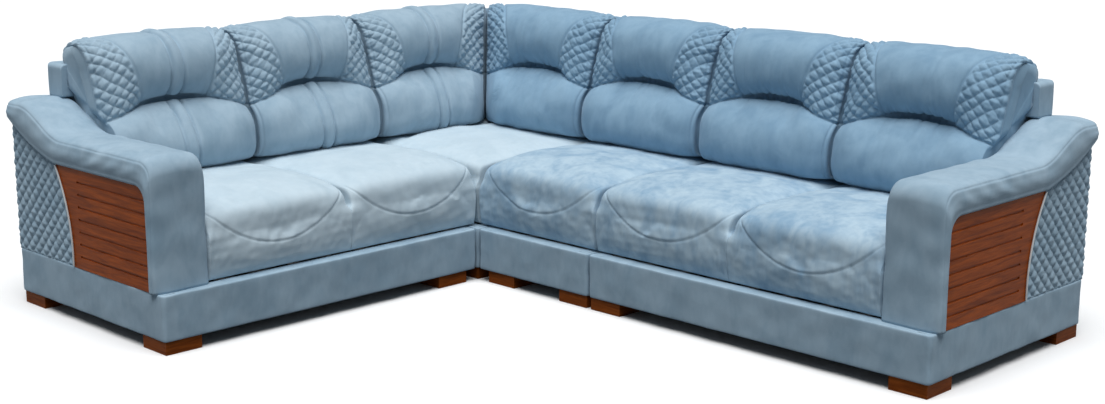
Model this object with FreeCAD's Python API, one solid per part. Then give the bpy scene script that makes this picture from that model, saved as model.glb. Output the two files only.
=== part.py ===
import FreeCAD, Part
import math
import os
from FreeCAD import Vector

# Layout of the corner sofa in plan, millimetres.
DEPTH = 900.0
SEAT_WIDTH = 570.0
ARM_WIDTH = 192.0
ARM_LIP = 10.0
BAND_PROUD = 32.0
MODULE_GAP = 5.0
BACK_DEPTH = 100.0
BAND_SETBACK = 8.0

# Heights above the floor.
FOOT_HEIGHT = 43.0
BAND_TOP = 190.0
SEAT_REAR_TOP = 440.0
SEAT_EDGE_TOP = 428.0
SEAT_CROWN = 18.0
BACK_TOP = 815.0
CUSHION_TOP = 905.0

# Clearances.
SEATED = 0.4
HOLE_CLEARANCE = 0.3

# Base: fabric band around a timber frame, zigzag springs, bottom cloth.
BAND_WALL = 20.0
BAND_CORNER = 12.0
BAND_EDGE = 8.0
RAIL = 25.0
STRETCHER_TOP = 118.0
STRETCHER_PITCH = 230.0
BLOCK = 70.0
SPRING_WIRE = 4.0
SPRING_SWING = 22.0
SPRING_PITCH = 25.0
SPRINGS_PER_SEAT = 4
CLOTH = 1.5

# Feet and the bolts that hold them.
FOOT_SIDE = 130.0
FOOT_INSET = 8.0
INNER_FOOT_INSET = 45.0
BOLT_RADIUS = 4.0
BOLT_HEAD_RADIUS = 9.0
BOLT_HEAD = 6.0
BOLT_RECESS = 12.0
BOLT_TOP = 105.0

# Joining tongues and guides under the base.
JOIN_WIDTH = 40.0
JOIN_REACH = 60.0
JOIN_ROOT = 90.0
JOIN_PLATE = 3.0
JOIN_STEP = 2.0
JOIN_SIDE_CLEARANCE = 0.3
GUIDE_LENGTH = 90.0
GUIDE_WIDTH = 12.0
GUIDE_HEIGHT = 8.0
GUIDE_SETBACK = 2.0

# Back: timber frame in an upholstered case.
CASE_WALL = 14.0
CASE_EDGE = 12.0
BACK_OVER_ARM = 48.0
POST = 40.0
POST_PITCH = 250.0

# Seat pad form.
PAD_FRONT_DRAW = 14.0
PAD_EDGE_ROUND = 52.0
PAD_FLAT = 300.0
PAD_SIDE_DROP = 34.0
PAD_SIDE_DRAW = 26.0
PAD_SIDE_GAP = 1.0

# Back cushion form, middle and end values of the same section.
LUMBAR_FOOT = (350.0, 284.0)
LUMBAR_FRONT = (404.0, 292.0)
LUMBAR_LEVEL = (532.0, 526.0)
CREASE_DEPTH = (262.0, 258.0)
CREASE_LEVEL = (690.0, 628.0)
CREASE_REACH = 0.38
CREASE_FADE = 0.34
WING_DEPTH = 330.0
HEAD_FRONT = (316.0, 182.0)
HEAD_LEVEL = (792.0, 800.0)
HEAD_TOP_DEPTH = (205.0, 133.0)
HEAD_REAR_DEPTH = (62.0, 78.0)
HEAD_REAR_LEVEL = (868.0, 846.0)
CUSHION_END_DROP = 30.0
CUSHION_SPREAD = 28.0
MITRE_FRONT = 300.0
MITRE_HOLD = 2.0

# Pairs of sewn tucks down the middle of the left wing's back cushions.
TUCK_SPACING = 50.0
TUCK_WIDTH = 4.0
TUCK_DEPTH = 5.0

# Arm form, seen from the side: distance from the rear and height.
ARM_REAR_TOP = 700.0
ARM_TOP = 610.0
ARM_SWOOP_START = 90.0
ARM_SWOOP_END = 330.0
ARM_SWOOP_BOW = 15.0
ARM_FRONT_ROUND = 55.0
ARM_LIP_REAR = 637.0
ARM_LIP_LEVEL = 520.0
ARM_LIP_MEETS = 292.0
ARM_BOARD = 15.0
ARM_PANEL = 18.0
ARM_EDGE_ROUND = 26.0
ARM_CROWN = 5.0
ARM_FRONT_PAD = 33.0
WOOD_CORNER = 55.0
WOOD_REAR_FOOT = 376.0
WOOD_EDGE_BOW = 26.0
ARM_LIP_BOW = 15.0
GROOVES = 7
GROOVE_WIDTH = 7.0
GROOVE_DEPTH = 3.0
GROOVE_REAR = 420.0
PIPING_RADIUS = 3.0
QUILT_PITCH = 46.0
QUILT_GROOVE = 3.5

# Sections across a pad or cushion, closer together towards its ends.
SECTIONS = 11
SHARES = [math.sin(math.pi * (index / (SECTIONS - 1) - 0.5)) for index in range(SECTIONS)]

# Sagitta of a quarter round of radius 1.
QUARTER = 1 - math.cos(math.pi / 4)

# What the values above fix.
SEAT_FRONT = DEPTH - BAND_PROUD
CORNER_END = SEAT_FRONT
WOOD_FRONT = SEAT_FRONT - ARM_FRONT_PAD
FIRST_SEAT = SEAT_FRONT + MODULE_GAP
FIRST_BASE = DEPTH + MODULE_GAP
RIGHT_SEAT = FIRST_SEAT + SEAT_WIDTH + MODULE_GAP
LEFT_END = FIRST_SEAT + 2 * SEAT_WIDTH + ARM_WIDTH
RIGHT_END = RIGHT_SEAT + 2 * SEAT_WIDTH + ARM_WIDTH
FRAME_BOTTOM = FOOT_HEIGHT + CLOTH
FRAME_TOP = BAND_TOP - SPRING_WIRE - SEATED
PAD_BOTTOM = BAND_TOP + SEATED
CENTRE_X = (RIGHT_END + ARM_LIP) / 2
CENTRE_Y = (LEFT_END + ARM_LIP) / 2
JOIN_LINE = DEPTH / 2

nodes = {}


def box(u0, u1, v0, v1, z0, z1):
    """Return a box between two corners."""
    return Part.makeBox(u1 - u0, v1 - v0, z1 - z0, Vector(u0, v0, z0))


def fused(shapes):
    """Return the shapes joined into one, with merged flat faces."""
    return shapes[0].multiFuse(shapes[1:]).removeSplitter()


def mix(pair, share):
    """Return the value between a (middle, end) pair."""
    return pair[0] + (pair[1] - pair[0]) * share


def arc(start, end, bulge):
    """Return an arc from start to end that stands bulge off its chord, to the left of the way."""
    chord = end - start
    side = Vector(0, -chord.z, chord.y)
    side.normalize()
    middle = (start + end) * 0.5 + side * bulge
    return Part.Arc(start, middle, end).toShape()


def outline(points, bulges, place):
    """Return a closed wire through (depth, height) points, each edge a line or an arc."""
    corners = [place(v, z) for v, z in points]
    flat = [Vector(0, v, z) for v, z in points]
    edges = []
    for index, bulge in enumerate(bulges):
        follower = (index + 1) % len(points)
        if bulge:
            chord = flat[follower] - flat[index]
            side = Vector(0, -chord.z, chord.y)
            side.normalize()
            middle = (flat[index] + flat[follower]) * 0.5 + side * bulge
            edges.append(Part.Arc(corners[index], place(middle.y, middle.z), corners[follower]).toShape())
        else:
            edges.append(Part.makeLine(corners[index], corners[follower]))
    return Part.Wire(edges)


def at(u):
    """Return the placing of a section in the plane across the module at u."""
    return lambda v, z: Vector(u, v, z)


def slab(points, bulges, u0, u1):
    """Return a (depth, height) outline pushed out along u."""
    face = Part.Face(outline(points, bulges, at(u0)))
    return face.extrude(Vector(u1 - u0, 0, 0))


def fullness(share, power=3.0):
    """Return how full a cushion is, 1 in its middle (share 0) and 0 at its ends (share 1)."""
    return (1 - abs(share) ** power) ** (1 / power)


# Base.

def base_band(u0, u1):
    """Return the fabric-covered band: a ring with eased outer edges."""
    outer = box(u0, u1, BAND_SETBACK, DEPTH, FOOT_HEIGHT, BAND_TOP)
    upright = [edge for edge in outer.Edges if abs(edge.tangentAt(edge.FirstParameter).z) > 0.9]
    outer = outer.makeFillet(BAND_CORNER, upright)
    top = [edge for edge in outer.Edges if edge.BoundBox.ZMin > BAND_TOP - 1]
    outer = outer.makeFillet(BAND_EDGE, top)
    inner = box(u0 + BAND_WALL, u1 - BAND_WALL, BAND_SETBACK + BAND_WALL, DEPTH - BAND_WALL,
                FOOT_HEIGHT - 1, BAND_TOP + 1)
    return outer.cut(inner)


def foot_centres(u0, u1, inner_inset):
    """Return the plan centres of a module's four feet."""
    half = FOOT_SIDE / 2
    near = BAND_SETBACK + FOOT_INSET + half
    far = DEPTH - FOOT_INSET - half
    return [(u, v) for u in (u0 + inner_inset + half, u1 - FOOT_INSET - half) for v in (near, far)]


def base_frame(u0, u1, feet):
    """Return the timber frame inside the band, with stretchers and a block over each foot."""
    left = u0 + BAND_WALL
    right = u1 - BAND_WALL
    rear = BAND_SETBACK + BAND_WALL
    front = DEPTH - BAND_WALL
    pieces = [
        box(left, right, front - RAIL, front, FRAME_BOTTOM, FRAME_TOP),
        box(left, right, rear, rear + RAIL, FRAME_BOTTOM, FRAME_TOP),
        box(left, left + RAIL, rear, front, FRAME_BOTTOM, FRAME_TOP),
        box(right - RAIL, right, rear, front, FRAME_BOTTOM, FRAME_TOP),
    ]
    bays = math.ceil((right - left) / STRETCHER_PITCH)
    for index in range(1, bays):
        u = left + (right - left) * index / bays
        pieces.append(box(u - RAIL / 2, u + RAIL / 2, rear, front, FRAME_BOTTOM, STRETCHER_TOP))
    for u, v in feet:
        pieces.append(box(u - BLOCK / 2, u + BLOCK / 2, v - BLOCK / 2, v + BLOCK / 2,
                          FRAME_BOTTOM, STRETCHER_TOP))
    frame = fused(pieces)
    return frame.cut(bolt_holes(feet))


def bolt_holes(feet):
    """Return the upright holes that the foot bolts pass through."""
    radius = BOLT_RADIUS + HOLE_CLEARANCE
    holes = [Part.makeCylinder(radius, BOLT_TOP + 2, Vector(u, v, 0)) for u, v in feet]
    return Part.makeCompound(holes)


def bottom_cloth(u0, u1, feet):
    """Return the thin cloth that closes the base from below."""
    left = u0 + BAND_WALL
    right = u1 - BAND_WALL
    sheet = box(left, right, BAND_SETBACK + BAND_WALL, DEPTH - BAND_WALL, FOOT_HEIGHT, FRAME_BOTTOM)
    return sheet.cut(bolt_holes(feet))


def springs(seats):
    """Return the zigzag springs that run from the rear rail to the front rail under each seat."""
    rear = BAND_SETBACK + BAND_WALL + RAIL / 3
    front = DEPTH - BAND_WALL - RAIL / 3
    bends = int((front - rear) / SPRING_PITCH)
    wide = SPRING_WIRE * 2
    wires = []
    for start, end in seats:
        for index in range(SPRINGS_PER_SEAT):
            centre = start + (end - start) * (index + 0.5) / SPRINGS_PER_SEAT
            line = []
            for bend in range(bends + 1):
                swing = SPRING_SWING if bend % 2 else -SPRING_SWING
                line.append((centre + swing, rear + (front - rear) * bend / bends))
            rim = [Vector(u + wide / 2, v, FRAME_TOP) for u, v in line]
            rim += [Vector(u - wide / 2, v, FRAME_TOP) for u, v in reversed(line)]
            face = Part.Face(Part.makePolygon(rim + rim[:1]))
            wires.append(face.extrude(Vector(0, 0, SPRING_WIRE)))
    return Part.makeCompound(wires)


def feet_blocks(feet):
    """Return the block feet, each with the recessed hole of its bolt."""
    half = FOOT_SIDE / 2
    blocks = []
    for u, v in feet:
        block = box(u - half, u + half, v - half, v + half, 0, FOOT_HEIGHT)
        recess = Part.makeCylinder(BOLT_HEAD_RADIUS + 1, BOLT_RECESS, Vector(u, v, 0))
        blocks.append(block.cut(recess))
    return Part.makeCompound(blocks).cut(bolt_holes(feet))


def foot_bolts(feet):
    """Return the bolts that hold the feet to the blocks of the frame."""
    bolts = []
    for u, v in feet:
        head = Part.makeCylinder(BOLT_HEAD_RADIUS, BOLT_HEAD, Vector(u, v, BOLT_RECESS - BOLT_HEAD))
        shank = Part.makeCylinder(BOLT_RADIUS, BOLT_TOP - BOLT_RECESS, Vector(u, v, BOLT_RECESS))
        bolts.append(head.fuse(shank))
    return Part.makeCompound(bolts)


# Joining tongues and guides.

def tongue(u0):
    """Return the steel tongue on a module whose base starts at u0, reaching under its neighbour."""
    low = FOOT_HEIGHT - JOIN_STEP - JOIN_PLATE
    tip = u0 - MODULE_GAP - JOIN_REACH
    root = box(u0, u0 + JOIN_ROOT, JOIN_LINE - JOIN_WIDTH / 2, JOIN_LINE + JOIN_WIDTH / 2, low, FOOT_HEIGHT)
    reach = box(tip, u0, JOIN_LINE - JOIN_WIDTH / 2, JOIN_LINE + JOIN_WIDTH / 2, low, low + JOIN_PLATE)
    return fused([root, reach])


def guides(u1):
    """Return the two guide bars under the module whose base ends at u1."""
    inner = JOIN_WIDTH / 2 + JOIN_SIDE_CLEARANCE
    bars = []
    for side in (-1, 1):
        edges = sorted((JOIN_LINE + side * inner, JOIN_LINE + side * (inner + GUIDE_WIDTH)))
        bars.append(box(u1 - GUIDE_LENGTH, u1 - GUIDE_SETBACK, edges[0], edges[1],
                        FOOT_HEIGHT - GUIDE_HEIGHT, FOOT_HEIGHT))
    return Part.makeCompound(bars)


# Seats.

def seat_outline(share):
    """Return a seat pad's section; share is 0 in its middle and 1 or -1 at its sides."""
    full = fullness(share)
    drop = PAD_SIDE_DROP * (1 - full)
    draw = PAD_SIDE_DRAW * (1 - full)
    rear = BACK_DEPTH + 2 * SEATED
    flat = rear + PAD_FLAT
    front = SEAT_FRONT - draw
    top = SEAT_EDGE_TOP - drop
    points = [
        (rear, PAD_BOTTOM),
        (front - PAD_FRONT_DRAW, PAD_BOTTOM),
        (front, top - PAD_EDGE_ROUND),
        (front - PAD_EDGE_ROUND, top),
        (flat, SEAT_REAR_TOP - drop),
        (rear, SEAT_REAR_TOP - drop),
    ]
    bulges = [0, -PAD_FRONT_DRAW / 2, -PAD_EDGE_ROUND * QUARTER, -SEAT_CROWN * (0.4 + 0.6 * full), 0, 0]
    return points, bulges


def seat_pad(u0, u1):
    """Return a crowned seat pad between two sides."""
    centre = (u0 + u1) / 2
    half = (u1 - u0) / 2 - PAD_SIDE_GAP
    wires = []
    for share in SHARES:
        points, bulges = seat_outline(share)
        wires.append(outline(points, bulges, at(centre + share * half)))
    return Part.makeLoft(wires, True, False)


# Back cushions.

def cushion_outline(share):
    """Return a back cushion's section; share is 0 in its middle and 1 or -1 at its ends."""
    end = 1 - fullness(share)
    arch = share * share
    fade = min(max((abs(share) - CREASE_REACH) / CREASE_FADE, 0.0), 1.0)
    crease = mix((CREASE_DEPTH[0], WING_DEPTH), fade)
    crease += (CREASE_DEPTH[1] - crease) * end
    rear = BACK_DEPTH + SEATED
    low = SEAT_REAR_TOP + SEATED
    step = BACK_TOP + SEATED
    points = [
        (rear, low),
        (mix(LUMBAR_FOOT, end), low),
        (mix(LUMBAR_FRONT, end), mix(LUMBAR_LEVEL, end)),
        (crease, mix(CREASE_LEVEL, arch)),
        (mix(HEAD_FRONT, end), mix(HEAD_LEVEL, end)),
        (mix(HEAD_TOP_DEPTH, end), CUSHION_TOP - CUSHION_END_DROP * end),
        (mix(HEAD_REAR_DEPTH, end), mix(HEAD_REAR_LEVEL, end)),
        (mix(HEAD_REAR_DEPTH, end), step),
        (rear, step),
    ]
    full = 1 - end
    bulges = [0, -6 - 12 * full, -8 - 16 * full, -4 - 14 * full * (1 - fade), -8 - 22 * full, -8 - 12 * full,
              0, 0, 0]
    return points, bulges


def back_cushion(u0, u1):
    """Return a back cushion with headrest, crease and lumbar roll."""
    centre = (u0 + u1) / 2
    half = (u1 - u0) / 2 - PAD_SIDE_GAP
    wires = []
    for share in SHARES:
        points, bulges = cushion_outline(share)
        wires.append(outline(points, bulges, at(centre + share * half)))
    return Part.makeLoft(wires, True, False)


def tuck_strip():
    """Return the band that cuts one tuck: it follows the front and top of the middle section."""
    points, bulges = cushion_outline(0)
    face = TUCK_WIDTH / 2
    outer = slab(pulled_in(points, -TUCK_DEPTH), bulges, -face, face)
    inner = slab(pulled_in(points, TUCK_DEPTH), bulges, -face - 1, face + 1)
    return outer.cut(inner)


def pulled_in(points, step):
    """Return a cushion section with its front and top moved inwards by step."""
    front = [(v - step, z) for v, z in points[1:5]]
    top = [(v, z - step) for v, z in points[5:7]]
    return points[:1] + front + top + points[7:]


def tucked(cushion, centre):
    """Return a back cushion with its pair of tucks either side of centre."""
    strips = []
    for side in (-1, 1):
        strip = tuck_strip()
        strip.translate(Vector(centre + side * TUCK_SPACING / 2, 0, 0))
        strips.append(strip)
    return cushion.cut(Part.makeCompound(strips))


def arm_room(u0):
    """Return the space that an arm beginning at u0 takes beside the outer back cushion."""
    top = ARM_TOP + SEATED
    rear_top = ARM_REAR_TOP + SEATED
    points = [
        (0, SEAT_REAR_TOP),
        (SEAT_FRONT, SEAT_REAR_TOP),
        (SEAT_FRONT, top),
        (ARM_SWOOP_END, top),
        ((ARM_SWOOP_START + ARM_SWOOP_END) / 2, (top + rear_top) / 2),
        (ARM_SWOOP_START, rear_top),
        (0, rear_top),
    ]
    return slab(points, [0, 0, 0, ARM_SWOOP_BOW, -ARM_SWOOP_BOW, 0, 0], u0 - SEATED, u0 + ARM_WIDTH)


def fan(u, shear):
    """Return the placing of a section that leans towards the corner's mitre plane."""
    return lambda v, z: Vector(u + shear * (v - MITRE_FRONT), v, z)


def corner_cushion(u1):
    """Return the corner's back cushion, from the mitre plane to its far end at u1."""
    start = MITRE_FRONT + SEATED + PAD_SIDE_GAP
    length = u1 - PAD_SIDE_GAP - start
    wires = []
    for share in SHARES:
        way = (share + 1) / 2
        points, bulges = cushion_outline(share)
        wires.append(outline(points, bulges, fan(start + length * way, (1 - way) ** 3)))
    # A copy of the end section, close behind it, keeps the form from swelling over the mitre.
    points, bulges = cushion_outline(SHARES[0])
    wires.insert(1, outline(points, bulges, fan(start + MITRE_HOLD, 1)))
    return Part.makeLoft(wires, True, False)


# Backs.

def back_case(u0, u1, over_arm):
    """Return the upholstered case of the back, open to the front, reaching a little over the arm."""
    solid = box(u0, u1, 0, BACK_DEPTH, PAD_BOTTOM, BACK_TOP)
    hollow = box(u0 + CASE_WALL, u1 - CASE_WALL, CASE_WALL, BACK_DEPTH + 1, PAD_BOTTOM - 1, BACK_TOP - CASE_WALL)
    if over_arm:
        solid = fused([solid, box(u1 - 1, u1 + over_arm, 0, BACK_DEPTH, ARM_REAR_TOP + SEATED, BACK_TOP)])
    top = [edge for edge in solid.Edges
           if edge.BoundBox.ZMin > BACK_TOP - 1 and edge.BoundBox.YMax < 1]
    return solid.makeFillet(CASE_EDGE, top).cut(hollow)


def back_frame(u0, u1):
    """Return the timber posts and rails inside a back case."""
    rear = CASE_WALL
    front = BACK_DEPTH
    left = u0 + CASE_WALL
    right = u1 - CASE_WALL
    top = BACK_TOP - CASE_WALL
    low = BAND_TOP + SEATED
    pieces = [
        box(left, right, rear, front, top - POST, top),
        box(left, right, rear, front, low, low + POST),
    ]
    bays = math.ceil((right - left) / POST_PITCH)
    for index in range(bays + 1):
        u = left + (right - left - POST) * index / bays
        pieces.append(box(u, u + POST, rear, front, low, top))
    return fused(pieces)


# Arms.

def arm_outline(inset):
    """Return the arm pad's side outline, its top and front drawn in by inset."""
    front = SEAT_FRONT - inset
    rear_top = ARM_REAR_TOP - inset
    top = ARM_TOP - inset
    points = [
        (0, ARM_LIP_REAR),
        (ARM_LIP_MEETS, ARM_LIP_LEVEL),
        (WOOD_FRONT - WOOD_CORNER, ARM_LIP_LEVEL),
        (WOOD_FRONT, ARM_LIP_LEVEL - WOOD_CORNER),
        (WOOD_FRONT, PAD_BOTTOM),
        (front, PAD_BOTTOM),
        (front, top - ARM_FRONT_ROUND),
        (front - ARM_FRONT_ROUND, top),
        (ARM_SWOOP_END, top),
        ((ARM_SWOOP_START + ARM_SWOOP_END) / 2, (top + rear_top) / 2),
        (ARM_SWOOP_START, rear_top - ARM_CROWN),
        (0, rear_top),
    ]
    bulges = [ARM_LIP_BOW, 0, WOOD_CORNER * QUARTER, 0, 0, 0, -ARM_FRONT_ROUND * QUARTER, -ARM_CROWN,
              ARM_SWOOP_BOW, -ARM_SWOOP_BOW, -ARM_CROWN / 5, 0]
    return points, bulges


def arm_pad(u0, u1):
    """Return the padded arm: its cap and front, and the board of its inner side."""
    span = u1 - u0
    eased = ((0, 1.0), (0.06, 0.55), (0.2, 0.12), (0.5, 0.0), (0.8, 0.12), (0.94, 0.55), (1, 1.0))
    wires = []
    for way, share in eased:
        points, bulges = arm_outline(ARM_EDGE_ROUND * share)
        wires.append(outline(points, bulges, at(u0 + span * way)))
    cap = Part.makeLoft(wires, True, False)
    board = box(u0, u0 + ARM_BOARD, BACK_DEPTH + SEATED, WOOD_FRONT + 1, PAD_BOTTOM, ARM_LIP_LEVEL + 1)
    return cap.fuse(board)


def wood_outline():
    """Return the wooden side panel's outline, its rear edge bowed towards the front."""
    low = PAD_BOTTOM
    top = ARM_LIP_LEVEL - SEATED
    points = [
        (WOOD_REAR_FOOT, low),
        (WOOD_FRONT - SEATED, low),
        (WOOD_FRONT - SEATED, top - WOOD_CORNER),
        (WOOD_FRONT - SEATED - WOOD_CORNER, top),
        (ARM_LIP_MEETS + SEATED, top),
    ]
    return points, [0, 0, -WOOD_CORNER * QUARTER, 0, WOOD_EDGE_BOW]


def wood_panel(u1):
    """Return the wooden side panel with its level grooves."""
    points, bulges = wood_outline()
    panel = slab(points, bulges, u1 - ARM_PANEL, u1)
    pitch = (ARM_LIP_LEVEL - PAD_BOTTOM) / (GROOVES + 1)
    cuts = []
    for index in range(1, GROOVES + 1):
        z = PAD_BOTTOM + pitch * index
        cuts.append(box(u1 - GROOVE_DEPTH, u1 + 1, GROOVE_REAR, DEPTH, z - GROOVE_WIDTH / 2, z + GROOVE_WIDTH / 2))
    return panel.cut(Part.makeCompound(cuts))


def quilted_panel(u0, u1):
    """Return the padded side panel with its sewn diamond channels, and the board behind the arm."""
    points = [
        (0, PAD_BOTTOM),
        (WOOD_REAR_FOOT - SEATED, PAD_BOTTOM),
        (ARM_LIP_MEETS, ARM_LIP_LEVEL - SEATED),
        (0, ARM_LIP_REAR - SEATED),
    ]
    panel = slab(points, [0, -WOOD_EDGE_BOW, -ARM_LIP_BOW + SEATED, 0], u1 - ARM_PANEL, u1)
    high = ARM_LIP_REAR - PAD_BOTTOM
    for slope, first, last in ((1, -high, WOOD_REAR_FOOT), (-1, 0, WOOD_REAR_FOOT + high)):
        steps = range(math.ceil(first / QUILT_PITCH), math.ceil(last / QUILT_PITCH))
        cuts = [channel(Vector(u1, step * QUILT_PITCH, PAD_BOTTOM), slope, 2 * high) for step in steps]
        panel = panel.cut(Part.makeCompound(cuts))
    board = box(u0 + SEATED, u1 - ARM_PANEL / 2, 0, CASE_WALL, PAD_BOTTOM, ARM_LIP_REAR - CASE_WALL)
    return panel.fuse(board)


def channel(middle, slope, reach):
    """Return a three-sided bar that cuts one sewn channel across the outer face."""
    along = Vector(0, slope, 1).normalize()
    across = Vector(0, 1, -slope).normalize()
    out = Vector(1, 0, 0)
    corners = [
        middle - out * QUILT_GROOVE,
        middle + out + across * (QUILT_GROOVE + 1),
        middle + out - across * (QUILT_GROOVE + 1),
    ]
    corners = [corner - along * reach for corner in corners]
    face = Part.Face(Part.makePolygon(corners + corners[:1]))
    return face.extrude(along * (2 * reach))


def arm_piping(u1):
    """Return the piping cord sewn along the edge between the quilted and the wooden panel."""
    low = Vector(u1 + PIPING_RADIUS, WOOD_REAR_FOOT, PAD_BOTTOM + PIPING_RADIUS)
    high = Vector(u1 + PIPING_RADIUS, ARM_LIP_MEETS, ARM_LIP_LEVEL - PIPING_RADIUS)
    path = Part.Wire([arc(low, high, -WOOD_EDGE_BOW)])
    start = path.Edges[0].tangentAt(path.Edges[0].FirstParameter)
    ring = Part.Wire([Part.makeCircle(PIPING_RADIUS, low, start)])
    return path.makePipeShell([ring], True, False)


def arm_frame(u0, u1):
    """Return the timber frame inside the arm."""
    inner = u0 + ARM_BOARD
    outer = u1 - ARM_PANEL
    rear = CASE_WALL
    front = WOOD_FRONT
    top = ARM_LIP_LEVEL
    pieces = [
        box(inner, outer, rear, front, PAD_BOTTOM, PAD_BOTTOM + POST),
        box(inner, outer, ARM_LIP_MEETS, front - WOOD_CORNER, top - POST, top),
    ]
    bays = 3
    for index in range(bays + 1):
        v = rear + (front - WOOD_CORNER - POST - rear) * index / bays
        pieces.append(box(inner, outer, v, v + POST, PAD_BOTTOM, top))
    pieces.append(box(inner, outer, rear, ARM_LIP_MEETS, top - POST, top))
    return fused(pieces)


# Modules in the sofa's own frame.

def on_right_wing(shape):
    """Return a module's piece turned into the wing that runs to the right."""
    moved = shape.mirror(Vector(0, 0, 0), Vector(0, 1, 0))
    moved.translate(Vector(-CENTRE_X, CENTRE_Y, 0))
    return moved


def on_left_wing(shape):
    """Return a module's piece turned into the wing that runs to the front left."""
    moved = shape.copy()
    moved.rotate(Vector(0, 0, 0), Vector(0, 0, 1), -90)
    moved.translate(Vector(-CENTRE_X, CENTRE_Y, 0))
    return moved


def add(place, module, pieces):
    """Keep each piece of a module as a node in its place in the sofa."""
    for name, shape in pieces.items():
        nodes[module + "_" + name] = place(shape)


def base(u0, u1, inner_inset, seats):
    """Return the pieces of one module's base."""
    feet = foot_centres(u0, u1, inner_inset)
    return {
        "base_band": base_band(u0, u1),
        "base_frame": base_frame(u0, u1, feet),
        "springs": springs(seats),
        "bottom_cloth": bottom_cloth(u0, u1, feet),
        "feet": feet_blocks(feet),
        "foot_bolts": foot_bolts(feet),
    }


def arm(u0, u1):
    """Return the pieces of one arm."""
    return {
        "arm_frame": arm_frame(u0, u1),
        "arm_pad": arm_pad(u0, u1 + ARM_LIP),
        "arm_wood_panel": wood_panel(u1),
        "arm_quilted_panel": quilted_panel(u0, u1),
        "arm_piping": arm_piping(u1),
    }


def end_module(place, module, base_start, seat_start, inner_inset, tucks):
    """Add a two-seat module with its arm, its back cushions tucked or plain."""
    seat_end = seat_start + 2 * SEAT_WIDTH
    end = seat_end + ARM_WIDTH
    middle = seat_start + SEAT_WIDTH
    add(place, module, base(base_start, end, inner_inset, [(base_start, middle), (middle, seat_end)]))
    inner_cushion = back_cushion(seat_start, middle)
    outer_cushion = back_cushion(middle, seat_end + CUSHION_SPREAD)
    if tucks:
        inner_cushion = tucked(inner_cushion, (seat_start + middle) / 2)
        outer_cushion = tucked(outer_cushion, (middle + seat_end + CUSHION_SPREAD) / 2)
    add(place, module, {
        "joining_tongue": tongue(base_start),
        "back_frame": back_frame(seat_start, seat_end),
        "back_case": back_case(seat_start, seat_end, BACK_OVER_ARM),
        "inner_seat": seat_pad(seat_start, middle),
        "outer_seat": seat_pad(middle, seat_end),
        "inner_back_cushion": inner_cushion,
        "outer_back_cushion": outer_cushion.cut(arm_room(seat_end)),
    })
    add(place, module, arm(seat_end, end))


def single_module():
    """Add the armless one-seat module between the corner and the right end."""
    end = FIRST_SEAT + SEAT_WIDTH
    add(on_right_wing, "single", base(FIRST_BASE, end, INNER_FOOT_INSET, [(FIRST_BASE, end)]))
    add(on_right_wing, "single", {
        "joining_set": Part.makeCompound([tongue(FIRST_BASE)] + guides(end).Solids),
        "back_frame": back_frame(FIRST_SEAT, end),
        "back_case": back_case(FIRST_SEAT, end, 0),
        "seat": seat_pad(FIRST_SEAT, end),
        "back_cushion": back_cushion(FIRST_SEAT, end),
    })


def corner_module():
    """Add the square corner module with its two backs."""
    rear = BACK_DEPTH + 2 * SEATED
    add(on_right_wing, "corner", base(BAND_SETBACK, DEPTH, FOOT_INSET, [(BAND_SETBACK, DEPTH)]))
    frames = on_right_wing(back_frame(0, CORNER_END)).Solids
    frames += on_left_wing(back_frame(BACK_DEPTH + SEATED, CORNER_END)).Solids
    nodes["corner_back_frame"] = Part.makeCompound(frames)
    bars = on_left_wing(guides(DEPTH)).Solids + on_right_wing(guides(DEPTH)).Solids
    nodes["corner_joining_guides"] = Part.makeCompound(bars)
    under_left = box(0, (LUMBAR_FOOT[0] + LUMBAR_FRONT[0]) / 2, 0, DEPTH, SEAT_REAR_TOP, CUSHION_TOP)
    add(on_right_wing, "corner", {
        "seat": seat_pad(rear - PAD_SIDE_GAP, CORNER_END).cut(under_left),
        "right_back_case": back_case(0, CORNER_END, 0),
        "right_back_cushion": corner_cushion(CORNER_END),
    })
    add(on_left_wing, "corner", {
        "left_back_case": back_case(BACK_DEPTH + SEATED, CORNER_END, 0),
        "left_back_cushion": tucked(corner_cushion(CORNER_END), (MITRE_FRONT + CORNER_END) / 2),
    })


corner_module()
end_module(on_left_wing, "left", FIRST_BASE, FIRST_SEAT, INNER_FOOT_INSET, tucks=True)
single_module()
end_module(on_right_wing, "right", RIGHT_SEAT, RIGHT_SEAT, FOOT_INSET, tucks=False)

os.makedirs("parts", exist_ok=True)
for name, shape in nodes.items():
    shape.exportStep("parts/" + name + ".step")
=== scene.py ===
"""Corner sofa in pale blue velvet: crowned seats, creased back cushions with quilted wings, padded arms.

Sizes are in metres. A module is laid out in its own plan: u runs along the wing from the outer back
corner, v from the rear towards the front and z up. Wing.place turns such points into the sofa's frame.
"""
import logging
import math
from dataclasses import dataclass
from enum import Enum

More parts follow.
